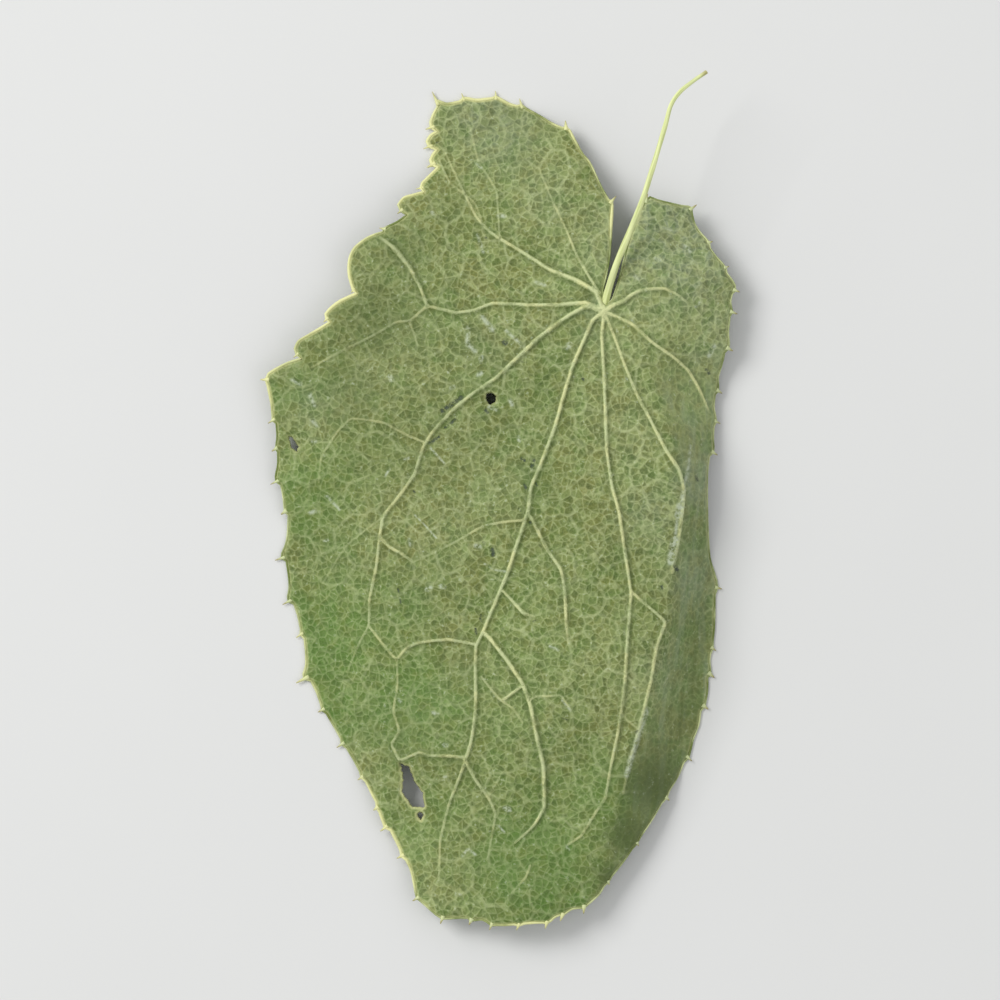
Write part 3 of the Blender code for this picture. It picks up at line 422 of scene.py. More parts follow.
# Cracks and dark spots, in the same form. The dark in the cracks is painted shade.
CRACKS_AND_SHADE = [
    (1.0, 0.2, -9.4, -6.6, -9.9, -6.95, -10.7, -7.5), (0.8, 0.16, -9.8, -8.05, -10.5, -8.6),
    (0.9, 0.18, -10.9, -9.2, -11.5, -9.65), (0.8, 0.18, -7.85, -7.4, -7.7, -7.6),
    (1.0, 0.22, -6.65, -3.0, -6.5, -3.05), (0.7, 0.18, -8.2, -4.3, -8.1, -4.35),
    (0.7, 0.12, -5.6, -4.2, -5.2, -4.3), (0.9, 0.17, -1.45, -5.3, -1.35, -5.4),
    (0.9, 0.17, -5.45, -10.65, -5.25, -10.8), (1.0, 0.17, -4.65, -10.8, -4.8, -11.3),
    (0.8, 0.16, -5.25, -12.4, -5.15, -12.6), (0.7, 0.14, -4.5, -12.3, -4.4, -12.5),
    (0.9, 0.15, -4.9, -14.75, -4.85, -14.9), (0.7, 0.14, -5.6, -14.0, -5.5, -14.1),
    (1.0, 0.18, -7.4, -16.65, -7.3, -17.05), (0.8, 0.15, -7.95, -16.2, -7.85, -16.3),
    (0.9, 0.16, -8.2, -21.0, -8.15, -21.35), (0.8, 0.15, -8.5, -21.9, -8.45, -22.3),
    (0.7, 0.18, -4.65, -21.4, -4.5, -21.4), (1.0, 0.18, 4.6, -17.8, 4.7, -18.0),
    (0.8, 0.17, 3.8, -19.1, 3.75, -19.3), (0.8, 0.17, 6.0, -11.9, 6.1, -12.1),
    (0.6, 0.35, 6.7, -4.7, 6.95, -5.0), (0.7, 0.14, -12.6, -12.8, -12.5, -12.9),
    (0.6, 0.16, -11.2, 10.3, -11.0, 10.4), (0.5, 0.2, -8.2, -9.4, -8.1, -9.5),
    (0.6, 0.16, 2.15, -28.6, 2.05, -28.8), (0.6, 0.15, -13.6, -19.3, -13.4, -20.3),
    (0.7, 0.16, -7.95, 4.0, -7.8, 3.95), (0.6, 0.15, -2.7, -27.8, -2.5, -27.9),
]

# The stalk's centre line, with heights, from inside the joint to its broken end
STALK_LINE = [
    (-0.1, -1.1, 3.0), (0.02, -0.6, 3.12), (0.13, 0.0, 3.22), (0.72, 2.0, 3.75), (1.55, 4.0, 4.15),
    (2.35, 6.0, 4.45), (2.95, 7.8, 4.65), (3.45, 9.4, 4.8), (4.0, 11.3, 4.9), (4.35, 12.6, 5.0),
    (4.95, 13.5, 4.95), (5.8, 14.2, 4.85), (6.75, 14.87, 4.7),
]


# The sizes and colours that a user would change


def length(name, description, millimetres):
    return bpy.props.FloatProperty(
        name=name, description=description, default=millimetres * MM, min=0.0, unit="LENGTH", precision=5
    )


def power(name, description, watts):
    return bpy.props.FloatProperty(name=name, description=description, default=watts, min=0.0, unit="POWER")


def colour(name, description, value):
    return bpy.props.FloatVectorProperty(
        name=name, description=description, default=value, size=3, min=0.0, max=1.0, subtype="COLOR"
    )


class LeafletSizes(bpy.types.PropertyGroup):
    """Sizes of the leaflet's pieces"""

    sheet: length("Sheet", "Thickness of the blade between its veins", 0.26)
    rib_rise: length("Rib Rise", "How far the strongest veins stand out of the upper face", 0.22)
    rib_width: length("Rib Width", "Width of the strongest veins", 0.38)
    net_rise: length("Net Rise", "How far the net stands out of the upper face", 0.035)
    net_width: length("Net Width", "Width of the net's threads", 0.32)
    puff: length("Puff", "How far a cell of the net bulges between its threads", 0.022)
    rim: length("Rim", "Radius of the pale rim", 0.085)
    spine: length("Spine", "Radius of a spine where it stands on the rim", 0.14)
    stalk: length("Stalk", "Radius of the stalk near the joint", 0.27)
    stalk_end: length("Stalk End", "Radius of the stalk at its end", 0.13)
    veinlets: length("Veinlets", "Width of the smallest cells between the finest veins", 0.46)


class LeafletColours(bpy.types.PropertyGroup):
    """Colours of the leaflet's finishes"""

    olive: colour("Olive", "Main colour of the upper face", (0.150, 0.198, 0.038))
    tan: colour("Tan", "Browner parts of the upper face", (0.212, 0.202, 0.038))
    fresh: colour("Fresh", "Greener parts of the upper face", (0.088, 0.192, 0.020))
    pale: colour("Pale", "Greyer and paler parts of the upper face", (0.286, 0.342, 0.222))
    # Also the colour of the painted light in patches
    light: colour("Light", "Palest of the small cells", (0.318, 0.392, 0.140))
    # Also the colour of the painted shade in patches and beside the veins
    shade: colour("Shade", "Darkest of the small cells", (0.066, 0.095, 0.020))
    vein: colour("Vein", "Veins and net", (0.560, 0.620, 0.320))
    # Also the painted highlight along the crease
    dust_and_highlight: colour("Dust", "Rubbed and dusty spots", (0.520, 0.580, 0.440))
    # Also the painted shade in the cracks
    crack_shade: colour("Crack", "Cracks along the veins", (0.040, 0.058, 0.040))
    under: colour("Underside", "Lower face", (0.266, 0.352, 0.212))
    rim: colour("Rim", "Rim of the blade", (0.720, 0.720, 0.340))
    spine_tip: colour("Spine Tip", "Points of the spines", (0.330, 0.265, 0.090))
    stalk: colour("Stalk", "Stalk", (0.740, 0.790, 0.380))
    stalk_shade: colour("Stalk Grooves", "Grooves and darker streaks of the stalk", (0.480, 0.550, 0.180))
    floor: colour("Floor", "Floor", (0.720, 0.720, 0.705))


class LeafletStage(bpy.types.PropertyGroup):
    """How the leaflet is lit and seen"""

    view_width: length("View Width", "Width of what the camera sees on the floor", 66.5)
    camera_height: length("Camera Height", "Height of the camera above the floor", 600.0)
    key: power("Key Light", "Power of the main light", 2.7)
    fill: power("Fill Light", "Power of the light from the other side", 0.5)
    sky: bpy.props.FloatProperty(
        name="Sky", description="Strength of the even light from all sides", default=0.61, min=0.0
    )


# Lines and shapes in plan


def smooth_line(points, step, roundness=EDGE_ROUNDNESS):
    """Points about one step apart on a smooth curve through the given points."""
    given = np.array(points, float)
    tangents = np.gradient(given, axis=0) * roundness
    t = np.arange(0.0, 1.0, 1 / CURVE_PIECES)[:, None]
    dense = [
        (2 * t**3 - 3 * t**2 + 1) * a + (t**3 - 2 * t**2 + t) * ta
        + (3 * t**2 - 2 * t**3) * b + (t**3 - t**2) * tb
        for a, b, ta, tb in zip(given[:-1], given[1:], tangents[:-1], tangents[1:])
    ]
    return resampled(np.vstack(dense + [given[-1:]]), step)


def resampled(line, step):
    """Points about one step apart along a bent line."""
    along = np.concatenate([[0.0], np.cumsum(np.linalg.norm(np.diff(line, axis=0), axis=1))])
    stations = np.linspace(0.0, along[-1], max(2, round(along[-1] / step) + 1))
    return np.column_stack([np.interp(stations, along, line[:, k]) for k in range(line.shape[1])])


def edge_of_blade():
    """The edge's reach with the spines' tips, the sheet's own closed line, and the spines, each with the
    middle of its foot and its tip."""
    reaches, margins, spines = [[], []], [[], []], []
    other_ends = (RIGHT_SCALLOPS[-1][-2], LEFT_SCALLOPS[-1][-2])
    both = zip(reaches, margins, (LEFT_SCALLOPS, RIGHT_SCALLOPS), other_ends)
    for reach, margin, scallops, other_end in both:
        for scallop, begin in zip(scallops, [*[after[0] for after in scallops[1:]], other_end]):
            reach += [*smooth_line(scallop[:-1], EDGE_STEP), np.array(scallop[-1])]
            foot, tip = (np.array(scallop[-2]) + begin) / 2, np.array(scallop[-1])
            margin += list(smooth_line(scallop[:-1], MARGIN_STEP))
            margin.append(foot + SPINE_FOOT * (tip - foot))
            spines.append((foot, tip))
    spines.pop()
    (left_reach, right_reach), (left, right) = reaches, margins
    reach = np.array(left_reach + right_reach[-2:0:-1])
    return reach, thinned(left + right[-2:0:-1], MARGIN_STEP * 0.5), spines


def thinned(line, least):
    """A closed line without the points that follow the last kept one too closely."""
    kept = [line[0]]
    for point in line[1:]:
        if np.linalg.norm(point - kept[-1]) > least and np.linalg.norm(point - kept[0]) > least:
            kept.append(point)
    return np.array(kept)


def inside(points, outline):
    """Whether each point lies inside a closed outline, by counting the edges that a ray crosses."""
    x, y = points[:, 0], points[:, 1]
    crossed = np.zeros(len(points), bool)
    for (x0, y0), (x1, y1) in zip(outline, np.roll(outline, -1, axis=0)):
        spans = (y0 > y) != (y1 > y)
        if spans.any():
            crossed[spans] ^= x[spans] < x0 + (y[spans] - y0) * (x1 - x0) / (y1 - y0)
    return crossed


def cell_centres(outline, chance):
    """The middles of the net's cells: random points that keep their distance from each other."""
    low, high = outline.min(axis=0), outline.max(axis=0)
    centres = []
    misses = 0
    while misses < MOST_MISSES:
        candidate = np.array([chance.uniform(low[0], high[0]), chance.uniform(low[1], high[1])])
        if centres and np.linalg.norm(np.array(centres) - candidate, axis=1).min() < CELL_SPACING:
            misses += 1
            continue
        centres.append(candidate)
    return np.array(centres)


def net_of(centres):
    """The net between the cells: its corners, one in each triangle of centres, and its threads, one
    across each side that two triangles share."""
    triangles = delaunay_2d_cdt([Vector(c) for c in centres], [], [], 0, 1e-6)[2]
    corners = np.array([centres[list(triangle)].mean(axis=0) for triangle in triangles])
    sides = {}
    for index, (a, b, c) in enumerate(triangles):
        for side in ((a, b), (b, c), (c, a)):
            sides.setdefault(frozenset(side), []).append(index)
    return corners, [tuple(pair) for pair in sides.values() if len(pair) == 2]


def ragged(hole, chance):
    """A hole's outline with fine uneven points between its corners."""
    made = []
    for a, b in zip(np.array(hole), np.roll(np.array(hole), -1, axis=0)):
        steps = max(1, round(np.linalg.norm(b - a) / HOLE_STEP))
        for step in range(steps):
            jitter = np.array([chance.uniform(-HOLE_JITTER, HOLE_JITTER) for _ in range(2)])
            made.append(a + (b - a) * step / steps + jitter)
    return np.array(made)


def unit(vectors):
    """The vectors at length one."""
    return vectors / np.maximum(np.linalg.norm(vectors, axis=-1, keepdims=True), 1e-9)


def rows_beside(line, offsets, closed=False):
    """Rows of points on both sides of a line, at the given distances from it."""
    wrapped = np.vstack([line[-1:], line, line[:1]]) if closed else line
    ahead = np.gradient(wrapped, axis=0)
    ahead = unit(ahead[1:-1] if closed else ahead)
    aside = np.column_stack([-ahead[:, 1], ahead[:, 0]])
    return np.vstack([line + side * offset * aside for offset in offsets for side in (1, -1)])


def tree_of(points):
    """A search tree of points in plan or in space."""
    tree = kdtree.KDTree(len(points))
    for index, point in enumerate(points):
        tree.insert((*point, 0.0)[:3], index)
    tree.balance()
    return tree


class Crests:
    """Many samples along lines in plan, each with its strength, for finding the nearest one."""

    def __init__(self, lines, strengths):
        samples = [resampled(line, SAMPLE_STEP) for line in lines]
        self.samples = np.vstack(samples)
        self.values = np.concatenate([
            np.interp(np.linspace(0.0, 1.0, len(dense)), STRENGTH_STATIONS, strength)
            for dense, strength in zip(samples, strengths)
        ])
        self.tree = tree_of(self.samples)

    def nearest(self, points):
        """The distance of each point to the nearest sample, and that sample's strength."""
        found = [self.tree.find((x, y, 0.0))[1:] for x, y in points]
        return np.array([gap for _, gap in found]), self.values[[index for index, _ in found]]


def eased(value):
    """A value held between 0 and 1, with soft ends."""
    held = np.clip(value, 0.0, 1.0)
    return held * held * (3.0 - 2.0 * held)


def hump(value):
    """A soft ridge: 1 at 0, and 0 from 1 on."""
    return np.clip(1.0 - value**2, 0.0, 1.0) ** 2


def stroked(points, strokes):
    """How deep each point lies in strokes: their strength on their lines, and less with the distance."""
    depth = np.full(len(points), -1.0)
    for strength, radius, *line in strokes:
        samples = resampled(np.reshape(line, (-1, 2)), STROKE_STEP)
        middle = samples[len(samples) // 2]
        near = np.flatnonzero(np.linalg.norm(points - middle, axis=1) < STROKE_REACH)
        gap = np.linalg.norm(points[near, None] - samples[None], axis=2).min(axis=1)
        depth[near] = np.maximum(depth[near], strength - gap / radius)
    return depth


def patches(points, places):
    """How much each point lies in round, soft-edged patches."""
    amount = np.zeros(len(points))
    for x, y, radius, strength in places:
        gap = np.linalg.norm(points - (x, y), axis=1) / radius
        amount = np.maximum(amount, strength * np.exp(-(gap**2) * PATCH_FADE))
    return amount


# The sheet's heights


def bending(points, places):
    """How much a thin plate held at each place bends at each point."""
    apart = np.linalg.norm(points[:, None] - places[None], axis=2)
    return apart**2 * np.log(np.maximum(apart, 1e-9))


def plate_height(points):
    """The height at points in plan of a thin, slightly stiff plate laid over the stations in LIE."""
    stations = np.array(LIE)
    places, heights = stations[:, :2], stations[:, 2]
    level = np.column_stack([np.ones(len(places)), places])
    held = bending(places, places) + STIFFNESS * np.eye(len(places))
    system = np.block([[held, level], [level.T, np.zeros((3, 3))]])
    weights = np.linalg.solve(system, np.concatenate([heights, np.zeros(3)]))
    return bending(points, places) @ weights[:-3] + weights[-3] + points @ weights[-2:]


def fold_at(points):
    """How far each point in plan is past the crease, and the slope of the sheet past the crease there."""
    crease = smooth_line(CREASE, 1.0)[::-1]
    past = points[:, 0] - np.interp(points[:, 1], crease[:, 1], crease[:, 0])
    slopes = smooth_line(FOLD_SLOPES, 0.5)[::-1]
    return past, np.interp(points[:, 1], slopes[:, 0], slopes[:, 1])


def height_at(points):
    """The height of the solid sheet's middle surface at points in plan."""
    height = plate_height(points)
    for along_x, along_y, phase, size in PUCKERS:
        height += size * np.sin(2 * math.pi * (points @ np.array([along_x, along_y])) + phase)
    past, slope = fold_at(points)
    height -= slope * 0.5 * (past + np.sqrt(past**2 + FOLD_ROUNDING**2))
    return np.maximum(height, SOLID_THICKNESS / 2)


def thin_height(points, sheet):
    """The height of the thin sheet's middle: its lower face lies where the solid sheet's does."""
    dents = sum(
        size * np.array([noise.noise((x / width, y / width, width)) for x, y in points])
        for width, size in DENTS
    )
    lowered = height_at(points) - (SOLID_THICKNESS - sheet) / 2
    return np.maximum(lowered + dents * eased((lowered - sheet / 2) / DENT_EASE), sheet / 2)


# Meshes


def in_frame(points):
    """Points in mm from the joint as metres in the model's frame."""
    return (np.asarray(points) + JOINT_PLACE) * MM


def linked(name, data):
    """A new object in the scene, with the given mesh or curve."""
    made = bpy.data.objects.new(name, data)
    bpy.context.scene.collection.objects.link(made)
    return made


def select_only(chosen):
    """Selects the given objects alone, with the first one active."""
    bpy.ops.object.select_all(action="DESELECT")
    for each in chosen:
        each.select_set(True)
    if chosen:
        bpy.context.view_layer.objects.active = chosen[0]


def add_tube(name, line, radii, rounding, closed):
    """A round tube along a line in mm, with a radius for each of its points."""
    curve = bpy.data.curves.new(name, "CURVE")
    curve.dimensions = "3D"
    curve.bevel_depth = 1.0
    curve.bevel_resolution = rounding
    curve.use_fill_caps = not closed
    spline = curve.splines.new("POLY")
    spline.points.add(len(line) - 1)
    spline.use_cyclic_u = closed
    for point, place, radius in zip(spline.points, in_frame(line), radii):
        point.co = (*place, 1.0)
        point.radius = radius * MM
    select_only([linked(name, curve)])
    bpy.ops.object.convert(target="MESH")
    bpy.ops.object.shade_smooth()
    return bpy.context.object


def set_attribute(mesh, name, values):
    """A number for each vertex, which the materials read."""
    attribute = mesh.attributes.new(name, "FLOAT", "POINT")
    attribute.data.foreach_set("value", np.asarray(values, np.float32))


def coordinates(mesh):
    found = np.empty(len(mesh.vertices) * 3)
    mesh.vertices.foreach_get("co", found)
    return found.reshape(-1, 3)


def place_of(piece):
    """Where a piece's vertices stand, in mm from the joint."""
    return coordinates(piece.data) / MM - JOINT_PLACE


def mark_bright(piece):
    """Tells the material how bright the rim is at each vertex."""
    set_attribute(piece.data, "bright", patches(place_of(piece)[:, :2], BRIGHT_RIM))


def finish_piece(piece, material, node=None):
    """Gives a piece its material and its body, and hides the solid that it stands for."""
    piece.data.materials.clear()
    piece.data.materials.append(material)
    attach(piece, BODY)
    if node:
        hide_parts(node)


# Shader trees


class Field:
    """An output of a shader tree. Python's operators on it add Math nodes."""

    def __init__(self, finish, output):
        self.finish, self.output = finish, output

    def math(self, operation, *values):
        return self.finish.node("ShaderNodeMath", {"operation": operation}, dict(enumerate(values)))

    def __add__(self, other):
        return self.math("ADD", self, other)

    __radd__ = __add__

    def __sub__(self, other):
        return self.math("SUBTRACT", self, other)

    def __rsub__(self, other):
        return self.math("SUBTRACT", other, self)

    def __mul__(self, other):
        return self.math("MULTIPLY", self, other)

    __rmul__ = __mul__

    def at_most(self, other):
        return self.math("MINIMUM", self, other)

    def at_least(self, other):
        return self.math("MAXIMUM", self, other)

    def ramp(self, low, high):
        """0 below the low value and 1 above the high one, with soft ends. High may be the lower one."""
        if high < low:
            return 1.0 - self.ramp(high, low)
        inputs = {"Value": self, "From Min": low, "From Max": high}
        return self.finish.node("ShaderNodeMapRange", {"interpolation_type": "SMOOTHSTEP"}, inputs)


class Finish:
    """A material that is being made: its nodes, and what a pattern is built from."""

    def __init__(self, name, gloss):
        self.material = bpy.data.materials.new(name)
        self.material.use_nodes = True
        self.nodes = self.material.node_tree.nodes
        self.links = self.material.node_tree.links
        self.shader = self.nodes["Principled BSDF"]
        self.shader.inputs["Specular IOR Level"].default_value = gloss
        self.place = self.node("ShaderNodeTexCoord", {}, {}, "Object")

    def node(self, kind, settings, inputs, output=0):
        """Adds a node: its settings first, then the values and links of its sockets."""
        made = self.nodes.new(kind)
        for name, value in settings.items():
            setattr(made, name, value)
        for socket, value in inputs.items():
            if isinstance(value, Field):
                self.links.new(value.output, made.inputs[socket])
            else:
                made.inputs[socket].default_value = value
        return Field(self, made.outputs[output])

    def attribute(self, name, output="Fac"):
        return self.node("ShaderNodeAttribute", {"attribute_name": name}, {}, output)

    def noise(self, size, detail=2.0, rough=0.5, place=None, output="Fac"):
        """Soft noise whose waves are about as wide as the size, in metres."""
        inputs = {"Vector": place or self.place, "Scale": 1 / size, "Detail": detail, "Roughness": rough}
        return self.node("ShaderNodeTexNoise", {}, inputs, output)

    def cells(self, size, feature, place, output=0):
        """Uneven cells about as wide as the size, in metres."""
        inputs = {"Vector": place, "Scale": 1 / size}
        return self.node("ShaderNodeTexVoronoi", {"feature": feature}, inputs, output)

    def part(self, field, number):
        """The red, green or blue part of a colour."""
        return self.node("ShaderNodeSeparateColor", {}, {0: field}, number)

    def vector(self, operation, first, second):
        inputs = {0: first, "Scale" if operation == "SCALE" else 1: second}
        return self.node("ShaderNodeVectorMath", {"operation": operation}, inputs)

    def coated(self, base, *coats):
        """A colour under coats of other colours, each as (colour, share), laid on in turn."""
        for colour, share in coats:
            values = {0: share, 6: self.rgba(base), 7: self.rgba(colour)}
            base = self.node("ShaderNodeMix", {"data_type": "RGBA"}, values, 2)
        return base

    @staticmethod
    def rgba(value):
        return value if isinstance(value, Field) else (*value, 1.0)

    def wandering(self, size, distance):
        """The place, moved about by soft noise."""
        moved = self.vector("SUBTRACT", self.noise(size, 1.0, output="Color"), (0.5, 0.5, 0.5))
        return self.vector("ADD", self.place, self.vector("SCALE", moved, distance))

    def done(self, colour, roughness, height=None):
        """The material, with its colour, its roughness and a height in metres that roughens it."""
        shown = {"Base Color": colour, "Roughness": roughness}
        if height:
            relief = {"Strength": 1.0, "Distance": 1.0, "Height": height}
            shown["Normal"] = self.node("ShaderNodeBump", {}, relief)
        for socket, field in shown.items():
            self.links.new(field.output, self.shader.inputs[socket])
        return self.material


def leaf_finish(sizes, colours):
    """The blade: mottled olive cells between paler veins, with a paler lower face, and patches of painted
    light and shade.
    """
    made = Finish("leaf_blade_finish", 0.35)
    rib_gap, rib_strength = made.attribute("rib_gap"), made.attribute("rib_strength")
    net_gap, net_strength = made.attribute("net_gap"), made.attribute("net_strength")
    folded, painted_light = made.attribute("folded"), made.attribute("painted_light")
    calm = 1.0 - folded * STRIP_CALM

    # Noise, from broad patches of colour to the finest grain
    broad, drift = made.noise(0.011), made.noise(0.0048)
    mottle = made.noise(0.0026, 3.0, 0.6)
    hue = made.noise(0.0012, 2.0, 0.6)
    speck = made.noise(0.00030, 2.0, 0.6)
    grain = made.noise(0.00020, 3.0, 0.65)
    streak = made.noise(0.0007, place=made.vector("MULTIPLY", made.place, (1.0, 0.12, 1.0)))

    # Smallest cells, each with its own tone, and veinlets between them that fade in and out
    strayed = made.wandering(0.0011, 0.00014)
    to_veinlet = made.cells(sizes.veinlets, "DISTANCE_TO_EDGE", strayed)
    cell_tone = made.cells(sizes.veinlets, "F1", strayed, "Color")
    darkness, paleness = made.part(cell_tone, 0), made.part(cell_tone, 1)
    to_fine = made.cells(sizes.veinlets * 0.45, "DISTANCE_TO_EDGE", strayed)
    veinlet = to_veinlet.ramp(0.15, 0.03) * (0.55 + 0.45 * speck.ramp(0.34, 0.60))
    fine = to_fine.ramp(0.18, 0.03) * (0.3 + 0.7 * speck.ramp(0.62, 0.44))

    # Veins and net, uneven along their lines, with painted shade along their flanks, and the edge
    rib = (rib_gap + (grain - 0.5) * 0.09).ramp(0.16, 0.05) * (0.15 + 0.85 * rib_strength)
    rib = rib * (0.35 + 0.65 * made.noise(0.0011, 3.0, 0.7).ramp(0.34, 0.56))
    net = (net_gap + (grain - 0.5) * 0.10).ramp(0.15, 0.03) * (0.3 + 0.7 * net_strength)
    net = net * mottle.ramp(0.25, 0.58)
    flank_shade = rib_gap.ramp(0.12, 0.20) * rib_gap.ramp(0.50, 0.24) * rib_strength
    edge = made.attribute("edge_gap").ramp(0.26, 0.04) * (0.25 + 0.6 * made.attribute("bright"))

    # Green and pale areas, worn and dusty spots with the painted highlight along the crease, and cracks and
    # dark spots with painted shade in the cracks
    fresh = (made.attribute("fresh") + (broad - 0.5) * 0.8 + (drift - 0.5) * 0.9).ramp(0.0, 1.0)
    pale = (made.attribute("pale") + (mottle - 0.5) * 0.3).ramp(0.02, 1.2)
    rubbed_and_highlit = made.attribute("scuffed_and_highlit").ramp(-0.15, 0.75) * (speck * 0.5 + grain * 0.5).ramp(0.38, 0.58)
    flakes = speck.ramp(0.60, 0.72) * grain.ramp(0.44, 0.60)
    cracked_and_shaded = made.attribute("cracked_and_shaded").ramp(-0.10, 0.70) * (speck * 0.4 + grain * 0.6).ramp(0.62, 0.44)

    light = made.coated(colours.light, (colours.fresh, fresh * 0.5))
    # Veins, paler where the painted light lies
    rib_tone = made.coated(
        colours.vein, (colours.rim, (hue.ramp(0.45, 0.60) * 0.7).at_least(painted_light * 0.7))
    )
    above = made.coated(
        colours.olive,
        (colours.tan, drift.ramp(0.58, 0.38) * 0.46),
        (colours.fresh, fresh),
        (colours.pale, pale * 0.9),
        # Painted light in patches
        (light, (painted_light * 0.8).at_most(0.95)),
        (colours.tan, hue.ramp(0.45, 0.66) * 0.52),
        (colours.fresh, hue.ramp(0.50, 0.34) * 0.55),
        (colours.shade, to_veinlet.ramp(0.04, 0.34) * 0.30),
        (colours.shade, darkness * 0.48 * calm),
        (light, paleness.ramp(0.35, 1.0) * 0.40 * calm),
        (colours.shade, speck.ramp(0.50, 0.33) * 0.42 * calm),
        (light, speck.ramp(0.50, 0.67) * 0.36 * calm),
        (light, grain.ramp(0.51, 0.76) * 0.42 * calm),
        (colours.shade, grain.ramp(0.49, 0.25) * 0.46 * calm),
        (colours.vein, (0.30 * veinlet).at_least(0.07 * fine) * calm),
        # Painted shade in the troughs beside the veins
        (colours.shade, 0.50 * flank_shade * speck.ramp(0.30, 0.60)),
        (colours.vein, 0.34 * net * calm),
        (colours.pale, (0.12 + 0.26 * streak.ramp(0.48, 0.70)) * folded),
        (colours.shade, streak.ramp(0.50, 0.30) * folded * 0.22),
        (colours.fresh, 0.24 * fresh),
        (rib_tone, rib.at_most(0.95)),
        (colours.rim, edge.at_most(0.85)),
        # Painted shade in patches
        (colours.shade, made.attribute("painted_shade") * 0.80),
        # Worn and dusty spots, with the painted highlight along the crease
        (colours.dust_and_highlight, (flakes * 0.36).at_least(rubbed_and_highlit * 0.70)),
        # Cracks and dark spots, with painted shade in the cracks
        (colours.crack_shade, cracked_and_shaded * 0.90),
    )
    below = made.coated(
        colours.under,
        (colours.pale, mottle.ramp(0.35, 0.7) * 0.6),
        (colours.vein, (0.4 * veinlet).at_least(0.6 * net).at_least(rib).at_most(0.9)),
    )
    relief = (
        (to_veinlet.ramp(0.30, 0.0) * 0.000020) + (grain * 0.000014) + (speck * 0.00003)
        + (hue * 0.00003) + (mottle * 0.00004) - (cracked_and_shaded * 0.00004)
    )
    roughness = 0.52 + 0.22 * grain + 0.08 * veinlet - 0.06 * rib
    return made.done(made.coated(above, (below, made.attribute("under"))), roughness, relief)


def rim_finish(colours):
    """Rim: pale straw where it is bright, and nearly as green as the blade elsewhere."""
    made = Finish("leaf_rim_finish", 0.4)
    patch, grain = made.noise(0.0016), made.noise(0.00025)
    tone = made.coated(
        colours.olive,
        (colours.vein, patch.ramp(0.35, 0.7) * 0.8),
        (colours.rim, (made.attribute("bright") + (patch - 0.5) * 1.1).ramp(-0.05, 0.8)),
        (colours.spine_tip, grain.ramp(0.6, 0.8) * 0.25),
    )
    return made.done(tone, 0.45 + 0.2 * grain, grain * 0.00002)


def spine_finish(colours):
    """Spines: straw at the base, brown at the point."""
    made = Finish("leaf_spine_finish", 0.45)
    grain = made.noise(0.0002)
    straw = (made.attribute("bright") + (made.noise(0.0016) - 0.5) * 0.9).ramp(0.0, 0.6)
    point = (made.attribute("tip") + (grain - 0.5) * 0.4).ramp(0.30, 0.95) * (0.9 - 0.5 * straw)
    tone = made.coated(colours.vein, (colours.rim, straw), (colours.spine_tip, point))
    return made.done(tone, 0.4 + 0.2 * grain, grain * 0.000012)


def stalk_finish(colours):
    """Stalk: pale yellow-green, with darker grooves and long streaks."""
    made = Finish("leaf_stalk_finish", 0.4)
    streak = made.noise(1.0, 3.0, 0.6, made.attribute("fibre", "Vector"))
    grain = made.noise(0.00022)
    tone = made.coated(
        colours.stalk,
        (colours.stalk_shade, (0.75 * made.attribute("groove") + streak.ramp(0.5, 0.7) * 0.5).at_most(0.9)),
        (colours.vein, made.noise(0.003).ramp(0.45, 0.7) * 0.4),
        (colours.spine_tip, made.attribute("broken") * 0.7),
    )
    return made.done(tone, 0.42 + 0.2 * streak + 0.05 * grain, (streak * 0.00003) + (grain * 0.000012))


def floor_finish(colours):
    """Floor: plain, pale and matt."""
    made = Finish("floor_finish", 0.2)
    tone = made.noise(0.02, 3.0)
    darker = tuple(0.97 * part for part in colours.floor)
    return made.done(made.coated(colours.floor, (darker, tone)), 0.75 + 0.1 * tone)


# The blade


